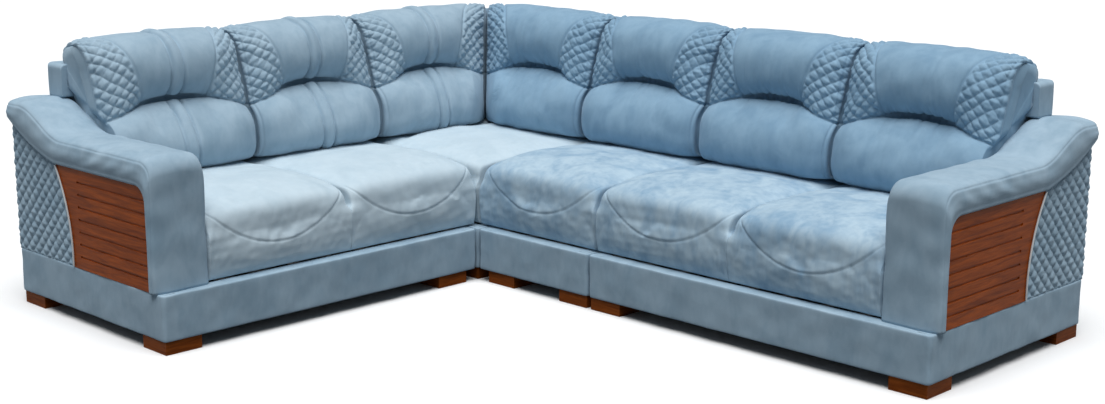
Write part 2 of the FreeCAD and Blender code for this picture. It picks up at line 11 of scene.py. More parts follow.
import bpy
import numpy as np
from mathutils import Euler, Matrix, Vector


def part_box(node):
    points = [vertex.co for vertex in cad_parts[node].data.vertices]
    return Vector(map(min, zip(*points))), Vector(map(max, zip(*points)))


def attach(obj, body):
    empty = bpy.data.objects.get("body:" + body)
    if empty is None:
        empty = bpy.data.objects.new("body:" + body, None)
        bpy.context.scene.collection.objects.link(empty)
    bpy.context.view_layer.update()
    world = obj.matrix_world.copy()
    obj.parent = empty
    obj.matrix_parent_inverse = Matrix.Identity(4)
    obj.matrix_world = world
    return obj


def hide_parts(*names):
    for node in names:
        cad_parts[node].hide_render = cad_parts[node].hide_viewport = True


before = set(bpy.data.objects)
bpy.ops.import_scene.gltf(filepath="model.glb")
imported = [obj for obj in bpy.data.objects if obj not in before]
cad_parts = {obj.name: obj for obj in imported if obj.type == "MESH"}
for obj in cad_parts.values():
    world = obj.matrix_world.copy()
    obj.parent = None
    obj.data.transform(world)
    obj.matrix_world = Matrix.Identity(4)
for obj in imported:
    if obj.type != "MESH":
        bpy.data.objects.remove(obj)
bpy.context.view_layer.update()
LOG = logging.getLogger("sofa")

Array = np.ndarray
Pair = tuple[float, float]
Colour = tuple[float, float, float]

# Half the sofa's length and half its depth.
CENTRE_X = 1.395
CENTRE_Y = 1.1075

# Measures that several pieces share.
SEAT_WIDTH = 0.570
SEAT_FRONT = 0.868
BACK_DEPTH = 0.100
PAD_BOTTOM = 0.1904
SIDE_GAP = 0.001
MODULE_START = 0.873
THIRD_MODULE_START = 1.448
ARM_TOP = 0.610
ARM_REAR_TOP = 0.700
ARM_WIDTH = 0.192
SWOOP_START = 0.070
SWOOP_LENGTH = 0.270

# A quarter round stands over its chord by this share of its radius.
ROUND_BOW = 0.29

# The air and the cloth that fill the covers.
AIR_PRESSURE = 4.0
CLOTH_STIFFNESS = 12.0
CLOTH_BENDING = 0.4
FILLING_FRAMES = 20

PICTURE_WIDTH = 1105


class Wing(Enum):
    """The two wings of the sofa, which meet in the corner."""

    RIGHT = "right"
    LEFT = "left"

    def place(self, points: Array) -> Array:
        """Turn plan points into the sofa's frame.

        The right wing runs along +X, so x = u - centre and y = centre - v. The left wing runs along -Y,
        so x = v - centre and y = centre - u.

        Args:
            points: (..., 3) array of u, v, z.

        Returns:
            The same points as x, y, z.
        """
        u, v, z = points[..., 0], points[..., 1], points[..., 2]
        if self is Wing.RIGHT:
            return np.stack([u - CENTRE_X, CENTRE_Y - v, z], axis=-1)
        return np.stack([v - CENTRE_X, CENTRE_Y - u, z], axis=-1)


class Sewing(Enum):
    """How the middle of a back cushion is sewn."""

    TUCKED = "a pair of tucks down the middle"
    GATHERED = "fine gathers above the crease"


# Shapes as arrays.

def smoothstep(value: Array, low: float, high: float) -> Array:
    """Return 0 below low, 1 above high and the smooth cubic 3t2 - 2t3 between them."""
    t = np.clip((value - low) / (high - low), 0.0, 1.0)
    return t * t * (3.0 - 2.0 * t)


def groove(distance: Array, width: float) -> Array:
    """Return the bell curve exp(-(distance / width) squared), 1 on the line and 0 far from it."""
    return np.exp(-((distance / width) ** 2))


def fullness(share: Array, power: float = 3.0) -> Array:
    """Return how full a pad is across its width: 1 in the middle and 0 at its ends.

    The curve is the superellipse (1 - |share| ** power) ** (1 / power).
    """
    return np.clip(1.0 - np.abs(share) ** power, 0.0, 1.0) ** (1.0 / power)


def mix(pair: Pair, share: Array) -> Array:
    """Return the value a share of the way from the first to the second of a pair."""
    return pair[0] + (pair[1] - pair[0]) * share


def columns(*values: Array | float) -> Array:
    """Stack values, each a number or one value a station, as the columns of one array."""
    return np.stack(np.broadcast_arrays(*values), axis=-1)


def outline(corners: Array, bulges: Array, counts: tuple[int, ...]) -> Array:
    """Trace closed outlines whose sides are shallow bows.

    Side k runs from corner k to the next. Its points are start + t * chord + left * bulge * 4t(1 - t),
    where left is the unit normal to the left of the way. A negative bulge swells outwards on an outline
    walked anticlockwise, and a positive one on an outline walked clockwise.

    Args:
        corners: (stations, sides, 2) corner points of each station's outline.
        bulges: (stations, sides) height of each bow over its chord.
        counts: points on each side.

    Returns:
        (stations, sum of counts, 2) points.
    """
    following = np.roll(corners, -1, axis=1)
    sides = []
    for side, count in enumerate(counts):
        t = np.linspace(0.0, 1.0, count, endpoint=False)[None, :, None]
        start = corners[:, side, None, :]
        chord = following[:, side, None, :] - start
        left = np.stack([-chord[..., 1], chord[..., 0]], axis=-1)
        left = left / np.maximum(np.linalg.norm(left, axis=-1, keepdims=True), 1e-9)
        sides.append(start + t * chord + left * bulges[:, side, None, None] * 4.0 * t * (1.0 - t))
    return np.concatenate(sides, axis=1)


def softened(rings: Array, reach: float) -> Array:
    """Round the corners of closed rings: a Gaussian blur along each ring, reach points wide."""
    waves = np.fft.fftfreq(rings.shape[1])[None, :, None]
    return np.fft.ifft(np.fft.fft(rings, axis=1) * np.exp(-2.0 * (np.pi * waves * reach) ** 2), axis=1).real


def running_length(rings: Array) -> Array:
    """Return the distance along each ring, from its first point, at every point."""
    steps = np.linalg.norm(np.diff(rings, axis=1), axis=-1)
    return np.concatenate([np.zeros((rings.shape[0], 1)), np.cumsum(steps, axis=1)], axis=1)


def ring_normals(rings: Array) -> Array:
    """Work out the unit normals of a tube of closed rings, pointing away from each ring's middle.

    The normal is the cross product of the step along the ring and the step to the next ring.

    Args:
        rings: (rings, points, 3) places.

    Returns:
        (rings, points, 3) directions.
    """
    around = np.roll(rings, -1, axis=1) - np.roll(rings, 1, axis=1)
    along = np.gradient(rings, axis=0)
    normal = np.cross(around, along)
    normal /= np.maximum(np.linalg.norm(normal, axis=-1, keepdims=True), 1e-12)
    middle = rings.mean(axis=1, keepdims=True)
    half = rings.shape[0] // 2
    outward = np.sum(normal[half] * (rings[half] - middle[half])) > 0.0
    return normal if outward else -normal


def ripples(a: Array, b: Array, seed: int, wavelength: float, count: int = 14) -> Array:
    """Make a soft random field over two coordinates, about -1 to 1.

    It is the sum of sine waves in random directions, with random phases and wavelengths near the one
    given, divided by the square root of their count.

    Args:
        a: The first coordinate.
        b: The second coordinate.
        seed: Picks the waves.
        wavelength: The middle wavelength.
        count: How many waves are summed.

    Returns:
        The field's value at each point.
    """
    random = np.random.default_rng(seed)
    total = np.zeros(np.broadcast(a, b).shape)
    for _ in range(count):
        turn = random.uniform(0.0, np.pi)
        pace = 2.0 * np.pi / (wavelength * random.uniform(0.6, 1.6))
        total += np.sin(pace * (a * np.cos(turn) + b * np.sin(turn)) + random.uniform(0.0, 2.0 * np.pi))
    return total / math.sqrt(count)


def stations(count: int, crowding: float = 1.0) -> Array:
    """Return shares from -1 to 1 across a pad, the closer together at its ends the higher the crowding."""
    even = np.linspace(-1.0, 1.0, count)
    return (1.0 - crowding) * even + crowding * np.sin(np.pi / 2.0 * even)


def doubled(counts: tuple[int, ...]) -> tuple[int, ...]:
    """Return twice each count."""
    return tuple(2 * count for count in counts)


# Meshes.

def make_object(name: str, points: Array, faces: list[list[int]]) -> bpy.types.Object:
    """Make a smooth mesh object at the origin.

    Args:
        name: The object's name.
        points: (..., 3) points in the sofa's frame.
        faces: The point numbers of each face.

    Returns:
        The new object.
    """
    mesh = bpy.data.meshes.new(name)
    mesh.from_pydata(points.reshape(-1, 3).tolist(), [], faces)
    mesh.validate()
    mesh.polygons.foreach_set("use_smooth", np.ones(len(mesh.polygons), dtype=bool))
    mesh.update()
    piece = bpy.data.objects.new(name, mesh)
    bpy.context.scene.collection.objects.link(piece)
    return piece


def grid_faces(rows: int, cols: int, around: bool) -> Array:
    """List the quads of a grid of points.

    Args:
        rows: Points down the grid.
        cols: Points along each row.
        around: Whether each row is closed into a ring.

    Returns:
        (quads, 4) point numbers.
    """
    row = np.arange(rows - 1)[:, None]
    col = np.arange(cols if around else cols - 1)[None, :]
    after = (col + 1) % cols
    corners = [row * cols + col, row * cols + after, (row + 1) * cols + after, (row + 1) * cols + col]
    return np.stack(np.broadcast_arrays(*corners), axis=-1).reshape(-1, 4)


def closed_tube(name: str, rings: Array, flip: bool, inset_steps: int = 6) -> bpy.types.Object:
    """Make a closed piece from a tube of rings.

    Each end is closed by copies of its ring, shrunk step by step towards its middle, and a fan to a
    middle point.

    Args:
        name: The object's name.
        rings: (rings, points, 3) in the sofa's frame.
        flip: Whether the faces have to be turned round to look outwards.
        inset_steps: How many shrunk copies close each end.

    Returns:
        The new object.
    """
    shrink = np.linspace(0.0, 1.0, inset_steps + 1, endpoint=False)[1:, None, None]
    first = rings[:1] + (rings[:1].mean(axis=1, keepdims=True) - rings[:1]) * shrink[::-1]
    last = rings[-1:] + (rings[-1:].mean(axis=1, keepdims=True) - rings[-1:]) * shrink
    tube = np.concatenate([first, rings, last], axis=0)
    rows, cols = tube.shape[:2]
    points = np.concatenate([tube.reshape(-1, 3), tube[0].mean(axis=0)[None], tube[-1].mean(axis=0)[None]])
    quads = grid_faces(rows, cols, around=True)
    col = np.arange(cols)
    after = (col + 1) % cols
    start_fan = np.stack([after, col, np.full(cols, rows * cols)], axis=-1)
    base = (rows - 1) * cols
    end_fan = np.stack([base + col, base + after, np.full(cols, rows * cols + 1)], axis=-1)
    faces = quads.tolist() + start_fan.tolist() + end_fan.tolist()
    if flip:
        faces = [face[::-1] for face in faces]
    return make_object(name, points, faces)


def open_sheet(name: str, points: Array, flip: bool) -> bpy.types.Object:
    """Make a sheet from a grid of points.

    Args:
        name: The object's name.
        points: (rows, points, 3) in the sofa's frame.
        flip: Whether the faces have to be turned round to look outwards.

    Returns:
        The new object.
    """
    faces = grid_faces(points.shape[0], points.shape[1], around=False).tolist()
    if flip:
        faces = [face[::-1] for face in faces]
    return make_object(name, points, faces)


def swelling(rings: Array, held: Array, cap: float) -> Array:
    """Fill a closed cover with air as a cloth simulation and return how far its points move.

    The tube is cloth under pressure, without gravity, for FILLING_FRAMES frames. Held points stay, and
    no point moves by more than the cap.

    Args:
        rings: (rings, points, 3) in plan coordinates.
        held: (rings, points) true where the cover is sewn down or rests on something.
        cap: The longest move.
    """
    rows, cols = rings.shape[:2]
    steps = 3
    cover = closed_tube("filling", rings, flip=False, inset_steps=steps)
    skin = cover.data
    inside = np.arange(steps * cols, (steps + rows) * cols)
    loose = inside[~held.reshape(-1)]
    group = cover.vertex_groups.new(name="held")
    group.add(np.setdiff1d(np.arange(len(skin.vertices)), loose).tolist(), 1.0, "REPLACE")
    cloth = cover.modifiers.new("cloth", "CLOTH")
    cloth.settings.use_pressure = True
    cloth.settings.uniform_pressure_force = AIR_PRESSURE
    cloth.settings.effector_weights.gravity = 0.0
    cloth.settings.vertex_group_mass = group.name
    cloth.settings.tension_stiffness = CLOTH_STIFFNESS
    cloth.settings.compression_stiffness = CLOTH_STIFFNESS
    cloth.settings.bending_stiffness = CLOTH_BENDING
    cloth.collision_settings.use_collision = False
    cloth.point_cache.frame_end = FILLING_FRAMES
    scene = bpy.context.scene
    for moment in range(1, FILLING_FRAMES + 1):
        scene.frame_set(moment)
    filled = cover.evaluated_get(bpy.context.evaluated_depsgraph_get())
    points = np.empty(len(filled.data.vertices) * 3)
    filled.data.vertices.foreach_get("co", points)
    scene.frame_set(1)
    bpy.data.objects.remove(cover)
    bpy.data.meshes.remove(skin)
    move = points.reshape(-1, 3)[inside].reshape(rings.shape) - rings
    length = np.linalg.norm(move, axis=-1, keepdims=True)
    return move * np.minimum(1.0, cap / np.maximum(length, 1e-9))


def refined(field: Array, coarse: Array, fine: Array) -> Array:
    """Carry a field of rings to finer rings that have twice as many points.

    Args:
        field: (coarse rings, points, 3) values.
        coarse: The coarse rings' shares.
        fine: The fine rings' shares.

    Returns:
        (fine rings, 2 * points, 3) values, blended linearly.
    """
    between = (field + np.roll(field, -1, axis=1)) / 2.0
    closer = np.stack([field, between], axis=2).reshape(field.shape[0], -1, 3)
    after = np.clip(np.searchsorted(coarse, fine), 1, len(coarse) - 1)
    part = ((fine - coarse[after - 1]) / (coarse[after] - coarse[after - 1]))[:, None, None]
    return closer[after - 1] * (1.0 - part) + closer[after] * part


def thicken(piece: bpy.types.Object, thickness: float) -> None:
    """Give a sheet a wall on its inner side with a Solidify modifier.

    Args:
        piece: The sheet.
        thickness: How thick the wall is.
    """
    wall = piece.modifiers.new("wall", "SOLIDIFY")
    wall.thickness = thickness
    wall.offset = -1.0


# Finishes.

class Nodes:
    """A short way to build one material's nodes."""

    def __init__(self, name: str) -> None:
        """Start an empty Principled material.

        Args:
            name: The material's name.
        """
        self.material = bpy.data.materials.new(name)
        self.material.use_nodes = True
        self.tree = self.material.node_tree
        self.shader = self.tree.nodes["Principled BSDF"]
        self.place = self.tree.nodes.new("ShaderNodeTexCoord").outputs["Object"]

    def link(self, output: bpy.types.NodeSocket, target: bpy.types.NodeSocket) -> None:
        """Join an output to an input."""
        self.tree.links.new(output, target)

    def stretched(self, scale: tuple[float, float, float]) -> bpy.types.NodeSocket:
        """Stretch Object coordinates with a Mapping node.

        Args:
            scale: How many times closer a pattern lies along x, y and z.

        Returns:
            The stretched coordinates.
        """
        node = self.tree.nodes.new("ShaderNodeMapping")
        node.inputs["Scale"].default_value = scale
        self.link(self.place, node.inputs["Vector"])
        return node.outputs["Vector"]

    def noise(self, vector: bpy.types.NodeSocket, scale: float, detail: float = 3.0,
              distortion: float = 0.0) -> bpy.types.NodeSocket:
        """Add a noise texture.

        Args:
            vector: The coordinates it reads.
            scale: How many blots it has to a metre, about.
            detail: How many finer layers it has.
            distortion: How far its blots are pulled out of shape.

        Returns:
            Its value.
        """
        node = self.tree.nodes.new("ShaderNodeTexNoise")
        node.inputs["Scale"].default_value = scale
        node.inputs["Detail"].default_value = detail
        node.inputs["Distortion"].default_value = distortion
        self.link(vector, node.inputs["Vector"])
        return node.outputs["Fac"]

    def ramp(self, value: bpy.types.NodeSocket, stops: list[tuple[float, Colour]]) -> bpy.types.NodeSocket:
        """Turn a value into a colour with a colour ramp.

        Args:
            value: The value.
            stops: Each place on the ramp and its colour.

        Returns:
            The colour.
        """
        node = self.tree.nodes.new("ShaderNodeValToRGB")
        band = node.color_ramp
        while len(band.elements) < len(stops):
            band.elements.new(0.5)
        for element, (position, colour) in zip(band.elements, stops):
            element.position = position
            element.color = (*colour, 1.0)
        self.link(value, node.inputs["Fac"])
        return node.outputs["Color"]

    def blend(self, factor: bpy.types.NodeSocket | float, first: bpy.types.NodeSocket,
              second: bpy.types.NodeSocket, mode: str = "MIX") -> bpy.types.NodeSocket:
        """Blend two colours.

        Args:
            factor: How much of the second counts, a socket or a number.
            first: The first colour.
            second: The second colour.
            mode: How the second acts on the first.

        Returns:
            The blended colour.
        """
        node = self.tree.nodes.new("ShaderNodeMix")
        node.data_type = "RGBA"
        node.blend_type = mode
        if isinstance(factor, float):
            node.inputs["Factor"].default_value = factor
        else:
            self.link(factor, node.inputs["Factor"])
        self.link(first, node.inputs["A"])
        self.link(second, node.inputs["B"])
        return node.outputs["Result"]

    def sum(self, first: bpy.types.NodeSocket, second: bpy.types.NodeSocket,
            weight: float) -> bpy.types.NodeSocket:
        """Add a weighted value to another.

        Args:
            first: The value that counts in full.
            second: The value that is weighted.
            weight: Its weight.

        Returns:
            first + weight * second.
        """
        node = self.tree.nodes.new("ShaderNodeMath")
        node.operation = "MULTIPLY_ADD"
        self.link(second, node.inputs[0])
        node.inputs[1].default_value = weight
        self.link(first, node.inputs[2])
        return node.outputs["Value"]

    def bump(self, height: bpy.types.NodeSocket, strength: float, distance: float) -> None:
        """Raise the surface by a height.

        Args:
            height: The height, from 0 to 1.
            strength: How much of it shows.
            distance: The real height of 1.
        """
        node = self.tree.nodes.new("ShaderNodeBump")
        node.inputs["Strength"].default_value = strength
        node.inputs["Distance"].default_value = distance
        self.link(height, node.inputs["Height"])
        self.link(node.outputs["Normal"], self.shader.inputs["Normal"])


@dataclass(frozen=True)
class Velvet:
    """Short-pile velvet: blotches where the nap lies another way, a fine pile and pale edges."""

    name: str
    dark: Colour
    pale: Colour
    blotch_size: float = 0.09
    upright_stretch: float = 0.55
    streak_scale: float = 42.0
    crease_scale: float = 26.0
    pile_scale: float = 900.0
    pile_share: float = 0.25
    relief_share: float = 0.22
    relief_height: float = 0.0030
    sheen: float = 0.22
    sheen_tint: Colour = (0.78, 0.90, 1.0)
    shine: float = 0.08

    def make(self) -> bpy.types.Material:
        """Build the material.

        Returns:
            The new material.
        """
        nodes = Nodes(self.name)
        brushed = nodes.stretched((1.0, 1.0, self.upright_stretch))
        blotches = nodes.noise(brushed, 1.0 / self.blotch_size, 4.0, 0.6)
        broad = nodes.ramp(blotches, [(0.34, self.dark), (0.60, self.pale)])
        streaks = nodes.noise(brushed, self.streak_scale, 3.0, 0.3)
        middle = tuple((a + b) / 2.0 for a, b in zip(self.dark, self.pale))
        narrow = nodes.ramp(streaks, [(0.35, middle), (0.62, self.pale)])
        share = nodes.ramp(nodes.noise(nodes.place, 6.0), [(0.3, (0.25,) * 3), (0.7, (0.7,) * 3)])
        nodes.link(nodes.blend(share, broad, narrow), nodes.shader.inputs["Base Color"])
        pile = nodes.noise(nodes.place, self.pile_scale, 2.0)
        creases = nodes.noise(nodes.place, self.crease_scale, 3.0, 0.5)
        nodes.bump(nodes.sum(creases, pile, self.pile_share), self.relief_share, self.relief_height)
        rough = nodes.ramp(blotches, [(0.3, (0.72,) * 3), (0.7, (0.88,) * 3)])
        nodes.link(rough, nodes.shader.inputs["Roughness"])
        sockets = nodes.shader.inputs
        sockets["Sheen Weight"].default_value = self.sheen
        sockets["Sheen Roughness"].default_value = 0.42
        sockets["Sheen Tint"].default_value = (*self.sheen_tint, 1.0)
        sockets["Specular IOR Level"].default_value = self.shine
        return nodes.material


@dataclass(frozen=True)
class Wood:
    """Wood with its grain running level: streaks of two tones and small pores."""

    name: str
    dark: Colour
    light: Colour
    roughness: float
    figure_stretch: tuple[float, float, float] = (1.2, 1.2, 16.0)
    pore_stretch: tuple[float, float, float] = (6.0, 6.0, 260.0)
    shine: float = 0.05

    def make(self) -> bpy.types.Material:
        """Build the material.

        Returns:
            The new material.
        """
        nodes = Nodes(self.name)
        figure = nodes.noise(nodes.stretched(self.figure_stretch), 3.2, 5.0, 1.4)
        tone = nodes.ramp(figure, [(0.32, self.dark), (0.68, self.light)])
        fine = nodes.noise(nodes.stretched(self.pore_stretch), 4.0, 2.0)
        pores = nodes.ramp(fine, [(0.38, (0.72,) * 3), (0.5, (1.0,) * 3)])
        nodes.link(nodes.blend(1.0, tone, pores, "MULTIPLY"), nodes.shader.inputs["Base Color"])
        nodes.bump(nodes.sum(figure, fine, 0.5), 0.12, 0.0008)
        sockets = nodes.shader.inputs
        sockets["Roughness"].default_value = self.roughness
        sockets["Specular IOR Level"].default_value = self.shine
        return nodes.material


@dataclass(frozen=True)
class Plain:
    """A woven or brushed finish: one tone that drifts a little, with a fine texture."""

    name: str
    colour: Colour
    roughness: float
    metallic: float = 0.0
    grain: float = 700.0

    def make(self) -> bpy.types.Material:
        """Build the material.

        Returns:
            The new material.
        """
        nodes = Nodes(self.name)
        darker = tuple(0.82 * part for part in self.colour)
        drift = nodes.ramp(nodes.noise(nodes.place, 14.0), [(0.35, darker), (0.65, self.colour)])
        nodes.link(drift, nodes.shader.inputs["Base Color"])
        nodes.bump(nodes.noise(nodes.place, self.grain, 2.0), 0.3, 0.0008)
        nodes.shader.inputs["Roughness"].default_value = self.roughness
        nodes.shader.inputs["Metallic"].default_value = self.metallic
        return nodes.material


class Finishes:
    """All finishes of the sofa, built once."""

    def __init__(self) -> None:
        """Build every material."""
        self.velvet = Velvet("blue_velvet", (0.255, 0.370, 0.465), (0.360, 0.480, 0.575)).make()
        # Seat pads: a paler copy of blue_velvet, painted light for the seat tops that face up under the
        # overhead light.
        self.seat = Velvet("painted_light_seat_velvet", (0.455, 0.570, 0.645), (0.540, 0.650, 0.720), 0.12).make()
        # Right wing's back cushions: a darker, bluer copy of blue_velvet, painted shade for the nap seen
        # from another side.
        self.shaded = Velvet("shaded_velvet", (0.180, 0.305, 0.430), (0.265, 0.410, 0.540)).make()
        # Right wing's seat pads: blotches where the pile is pressed, over a copy of the seat velvet darkened
        # as painted shade for the nap seen from another side.
        self.pressed = Velvet("pressed_shaded_velvet", (0.190, 0.325, 0.465), (0.440, 0.570, 0.665), 0.10).make()
        self.piping = Velvet("piping_velvet", (0.60, 0.64, 0.66), (0.70, 0.74, 0.75), 0.03).make()
        self.panel_wood = Wood("polished_wood", (0.210, 0.038, 0.003), (0.430, 0.088, 0.008), 0.34).make()
        self.foot_wood = Wood("foot_wood", (0.150, 0.034, 0.005), (0.300, 0.075, 0.012), 0.5).make()
        self.timber = Wood("timber", (0.46, 0.31, 0.17), (0.66, 0.49, 0.31), 0.7).make()
        self.steel = Plain("zinc_plated_steel", (0.42, 0.42, 0.43), 0.38, 1.0, 1200.0).make()
        self.lining = Plain("black_lining", (0.018, 0.018, 0.021), 0.9).make()


def dress(piece: bpy.types.Object, material: bpy.types.Material) -> None:
    """Give a piece one material."""
    piece.data.materials.clear()
    piece.data.materials.append(material)


def settle(piece: bpy.types.Object, body: str, nodes: tuple[str, ...]) -> None:
    """Tie a finished piece to its body and the nodes it stands for.

    Args:
        piece: The finished object.
        body: The body it rides on.
        nodes: The nodes it stands for.
    """
    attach(piece, body)
    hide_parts(*nodes)
    LOG.info("%s: %d faces", piece.name, len(piece.data.polygons))


# Seats.

@dataclass(frozen=True)
class SeatPad:
    """A crowned seat pad whose front carries a hanging seam.

    Its sides sink and draw in towards its neighbours. A parted side lies beside an arm or another module,
    and the other kind of side beside the pad that shares its module.
    """

    name: str
    wing: Wing
    body: str
    start: float
    end: float
    seed: int
    edge_round: float = 0.052
    rear_gap: float = 0.0008
    side_drop: float = 0.030
    side_draw: float = 0.022
    draw_reach: Pair = (0.25, 0.02)
    front_draw: float = 0.014
    rear_top: float = 0.440
    edge_top: float = 0.428
    crown: float = 0.018
    flat: float = 0.300
    swag_low: float = 0.288
    swag_rise: float = 0.122
    seam_depth: float = 0.0030
    seam_width: float = 0.0036
    slot_foot: float = 0.338
    parted_slot: float = 0.005
    shared_slot: float = 0.0095
    press_pitch: float = 0.017
    press_depth: float = 0.0016
    under_cushion: float = 0.0
    pressed: bool = False
    parted: tuple[bool, bool] = (True, True)
    puff_cap: float = 0.007
    counts: tuple[int, ...] = (24, 24, 12, 34, 12, 8)

    def rings(self, share: Array, counts: tuple[int, ...], reach: float) -> Array:
        """Return the pad's sections, each an outline of six bowed sides in depth and height.

        The fullness across the pad lowers the top and draws in the front towards both sides, but the
        draw fades out below slot_foot, where neighbouring pads lie against each other.

        Args:
            share: The sections' places, from -1 to 1 across the pad.
            counts: Points on each side of a section.
            reach: How far its corners are rounded, in points.

        Returns:
            (sections, points, 2) depth and height.
        """
        full = fullness(share)
        drop = self.side_drop * (1.0 - full)
        draw = self.side_draw * (1.0 - full)
        rear = BACK_DEPTH + self.rear_gap
        top = self.edge_top - drop
        corners = np.stack([
            columns(rear, PAD_BOTTOM + 0 * share),
            columns(SEAT_FRONT - self.front_draw, PAD_BOTTOM + 0 * share),
            columns(SEAT_FRONT, top - self.edge_round),
            columns(SEAT_FRONT - self.edge_round, top),
            columns(rear + self.flat, self.rear_top - drop),
            columns(rear, self.rear_top - drop),
        ], axis=1)
        bulges = columns(0.0, -self.front_draw / 2.0, -self.edge_round * ROUND_BOW,
                         -self.crown * (0.4 + 0.6 * full), 0.0, 0.0)
        ring = softened(outline(corners, bulges, counts), reach)
        ring[..., 1] = np.maximum(ring[..., 1], PAD_BOTTOM)
        high = smoothstep(ring[..., 1], self.slot_foot - 0.012, self.slot_foot + 0.032)
        forward = smoothstep(ring[..., 0], SEAT_FRONT - self.draw_reach[0], SEAT_FRONT - self.draw_reach[1])
        ring[..., 0] -= draw[:, None] * high * forward
        return ring

    def skin(self, share: Array, counts: tuple[int, ...], reach: float) -> Array:
        """Return the pad's plain skin in plan coordinates.

        Its front draws in along a parted side all the way down, and along the other kind of side only
        above slot_foot.

        Args:
            share: The sections' places, from -1 to 1 across the pad.
            counts: Points on each side of a section.
            reach: How far its corners are rounded, in points.

        Returns:
            (sections, points, 3) plan points.
        """
        ring = self.rings(share, counts, reach)
        forward = smoothstep(ring[..., 0], SEAT_FRONT - 0.14, SEAT_FRONT - 0.03)
        high = smoothstep(ring[..., 1], self.slot_foot, self.slot_foot + 0.02)
        low = smoothstep(ring[..., 1], PAD_BOTTOM, PAD_BOTTOM + 0.02)
        parted = np.where(share[:, None] < 0.0, self.parted[0], self.parted[1])
        slot = forward * np.where(parted, self.parted_slot * low, self.shared_slot * high)
        half = (self.end - self.start) / 2.0 - SIDE_GAP - slot
        across = (self.start + self.end) / 2.0 + share[:, None] * half
        return np.concatenate([across[..., None], ring], axis=-1)

    def swag(self, lateral: Array) -> Array:
        """Return the height of the hanging seam: low + rise * (|lateral| / half) ** 2.2."""
        half = (self.end - self.start) / 2.0
        return self.swag_low + self.swag_rise * (np.abs(lateral) / (half * 0.95)) ** 2.2

    def relief(self, lateral: Array, ring: Array) -> Array:
        """Return how far the surface stands out: the hanging seam, the puff over it and soft ripples.

        Args:
            lateral: Distance from the pad's middle, across it.
            ring: Depth and height of the plain skin.

        Returns:
            The height over the plain skin at each point.
        """
        depth, height = ring[..., 0], ring[..., 1]
        swag = self.swag(lateral)
        front = smoothstep(depth, SEAT_FRONT - 0.075, SEAT_FRONT - 0.045) * smoothstep(height, 0.21, 0.24)
        over = smoothstep(height, swag - 0.003, swag + 0.004) * (1.0 - smoothstep(height, swag, swag + 0.05))
        relief = (0.0012 * over - self.seam_depth * groove(height - swag, self.seam_width)) * front
        relief += 0.0015 * ripples(lateral, height + depth, self.seed, 0.16)
        fine = ripples(lateral, height + depth, self.seed + 50, 0.05)
        relief += 0.0007 * fine * smoothstep(depth, 0.7, 0.86)
        if self.pressed:
            patch = smoothstep(ripples(lateral, height * 0.5, self.seed + 60, 0.12), 0.1, 0.9) * front
            lines = 0.5 + 0.5 * np.sin(lateral * 2.0 * np.pi / self.press_pitch)
            relief -= self.press_depth * patch * lines
        return relief * smoothstep(height, PAD_BOTTOM + 0.004, PAD_BOTTOM + 0.03)

    def build(self, finish: bpy.types.Material) -> bpy.types.Object:
        """Build the pad and tie it to its body.

        Args:
            finish: Its velvet.

        Returns:
            The finished pad.
        """
        middle = (self.start + self.end) / 2.0
        coarse = stations(44, 0.8)
        plain = self.skin(coarse, self.counts, 1.1)
        resting = (plain[..., 1] < BACK_DEPTH + 0.02) | (plain[..., 2] < PAD_BOTTOM + 0.012)
        move = swelling(plain, resting, self.puff_cap)
        share = stations(112, 0.85)
        skin = self.skin(share, doubled(self.counts), 2.2)
        ring = skin[..., 1:].copy()
        lateral = skin[..., 0] - middle
        normal = ring_normals(skin)
        normal[..., 0] *= fullness(share)[:, None]
        room = fullness(share, 2.0)[:, None, None]
        skin = skin + normal * self.relief(lateral, ring)[..., None] + refined(move, coarse, share) * room
        if self.under_cushion:
            covered = skin[..., 0] < self.under_cushion + 0.010
            skin[..., 2] = np.where(covered, np.minimum(skin[..., 2], self.rear_top), skin[..., 2])
        skin[..., 2] = np.maximum(skin[..., 2], PAD_BOTTOM)
        piece = closed_tube(self.name, self.wing.place(skin), flip=self.wing is Wing.RIGHT)
        dress(piece, finish)
        settle(piece, self.body, (self.name.removesuffix("_pad"),))
        return piece


# Back cushions.

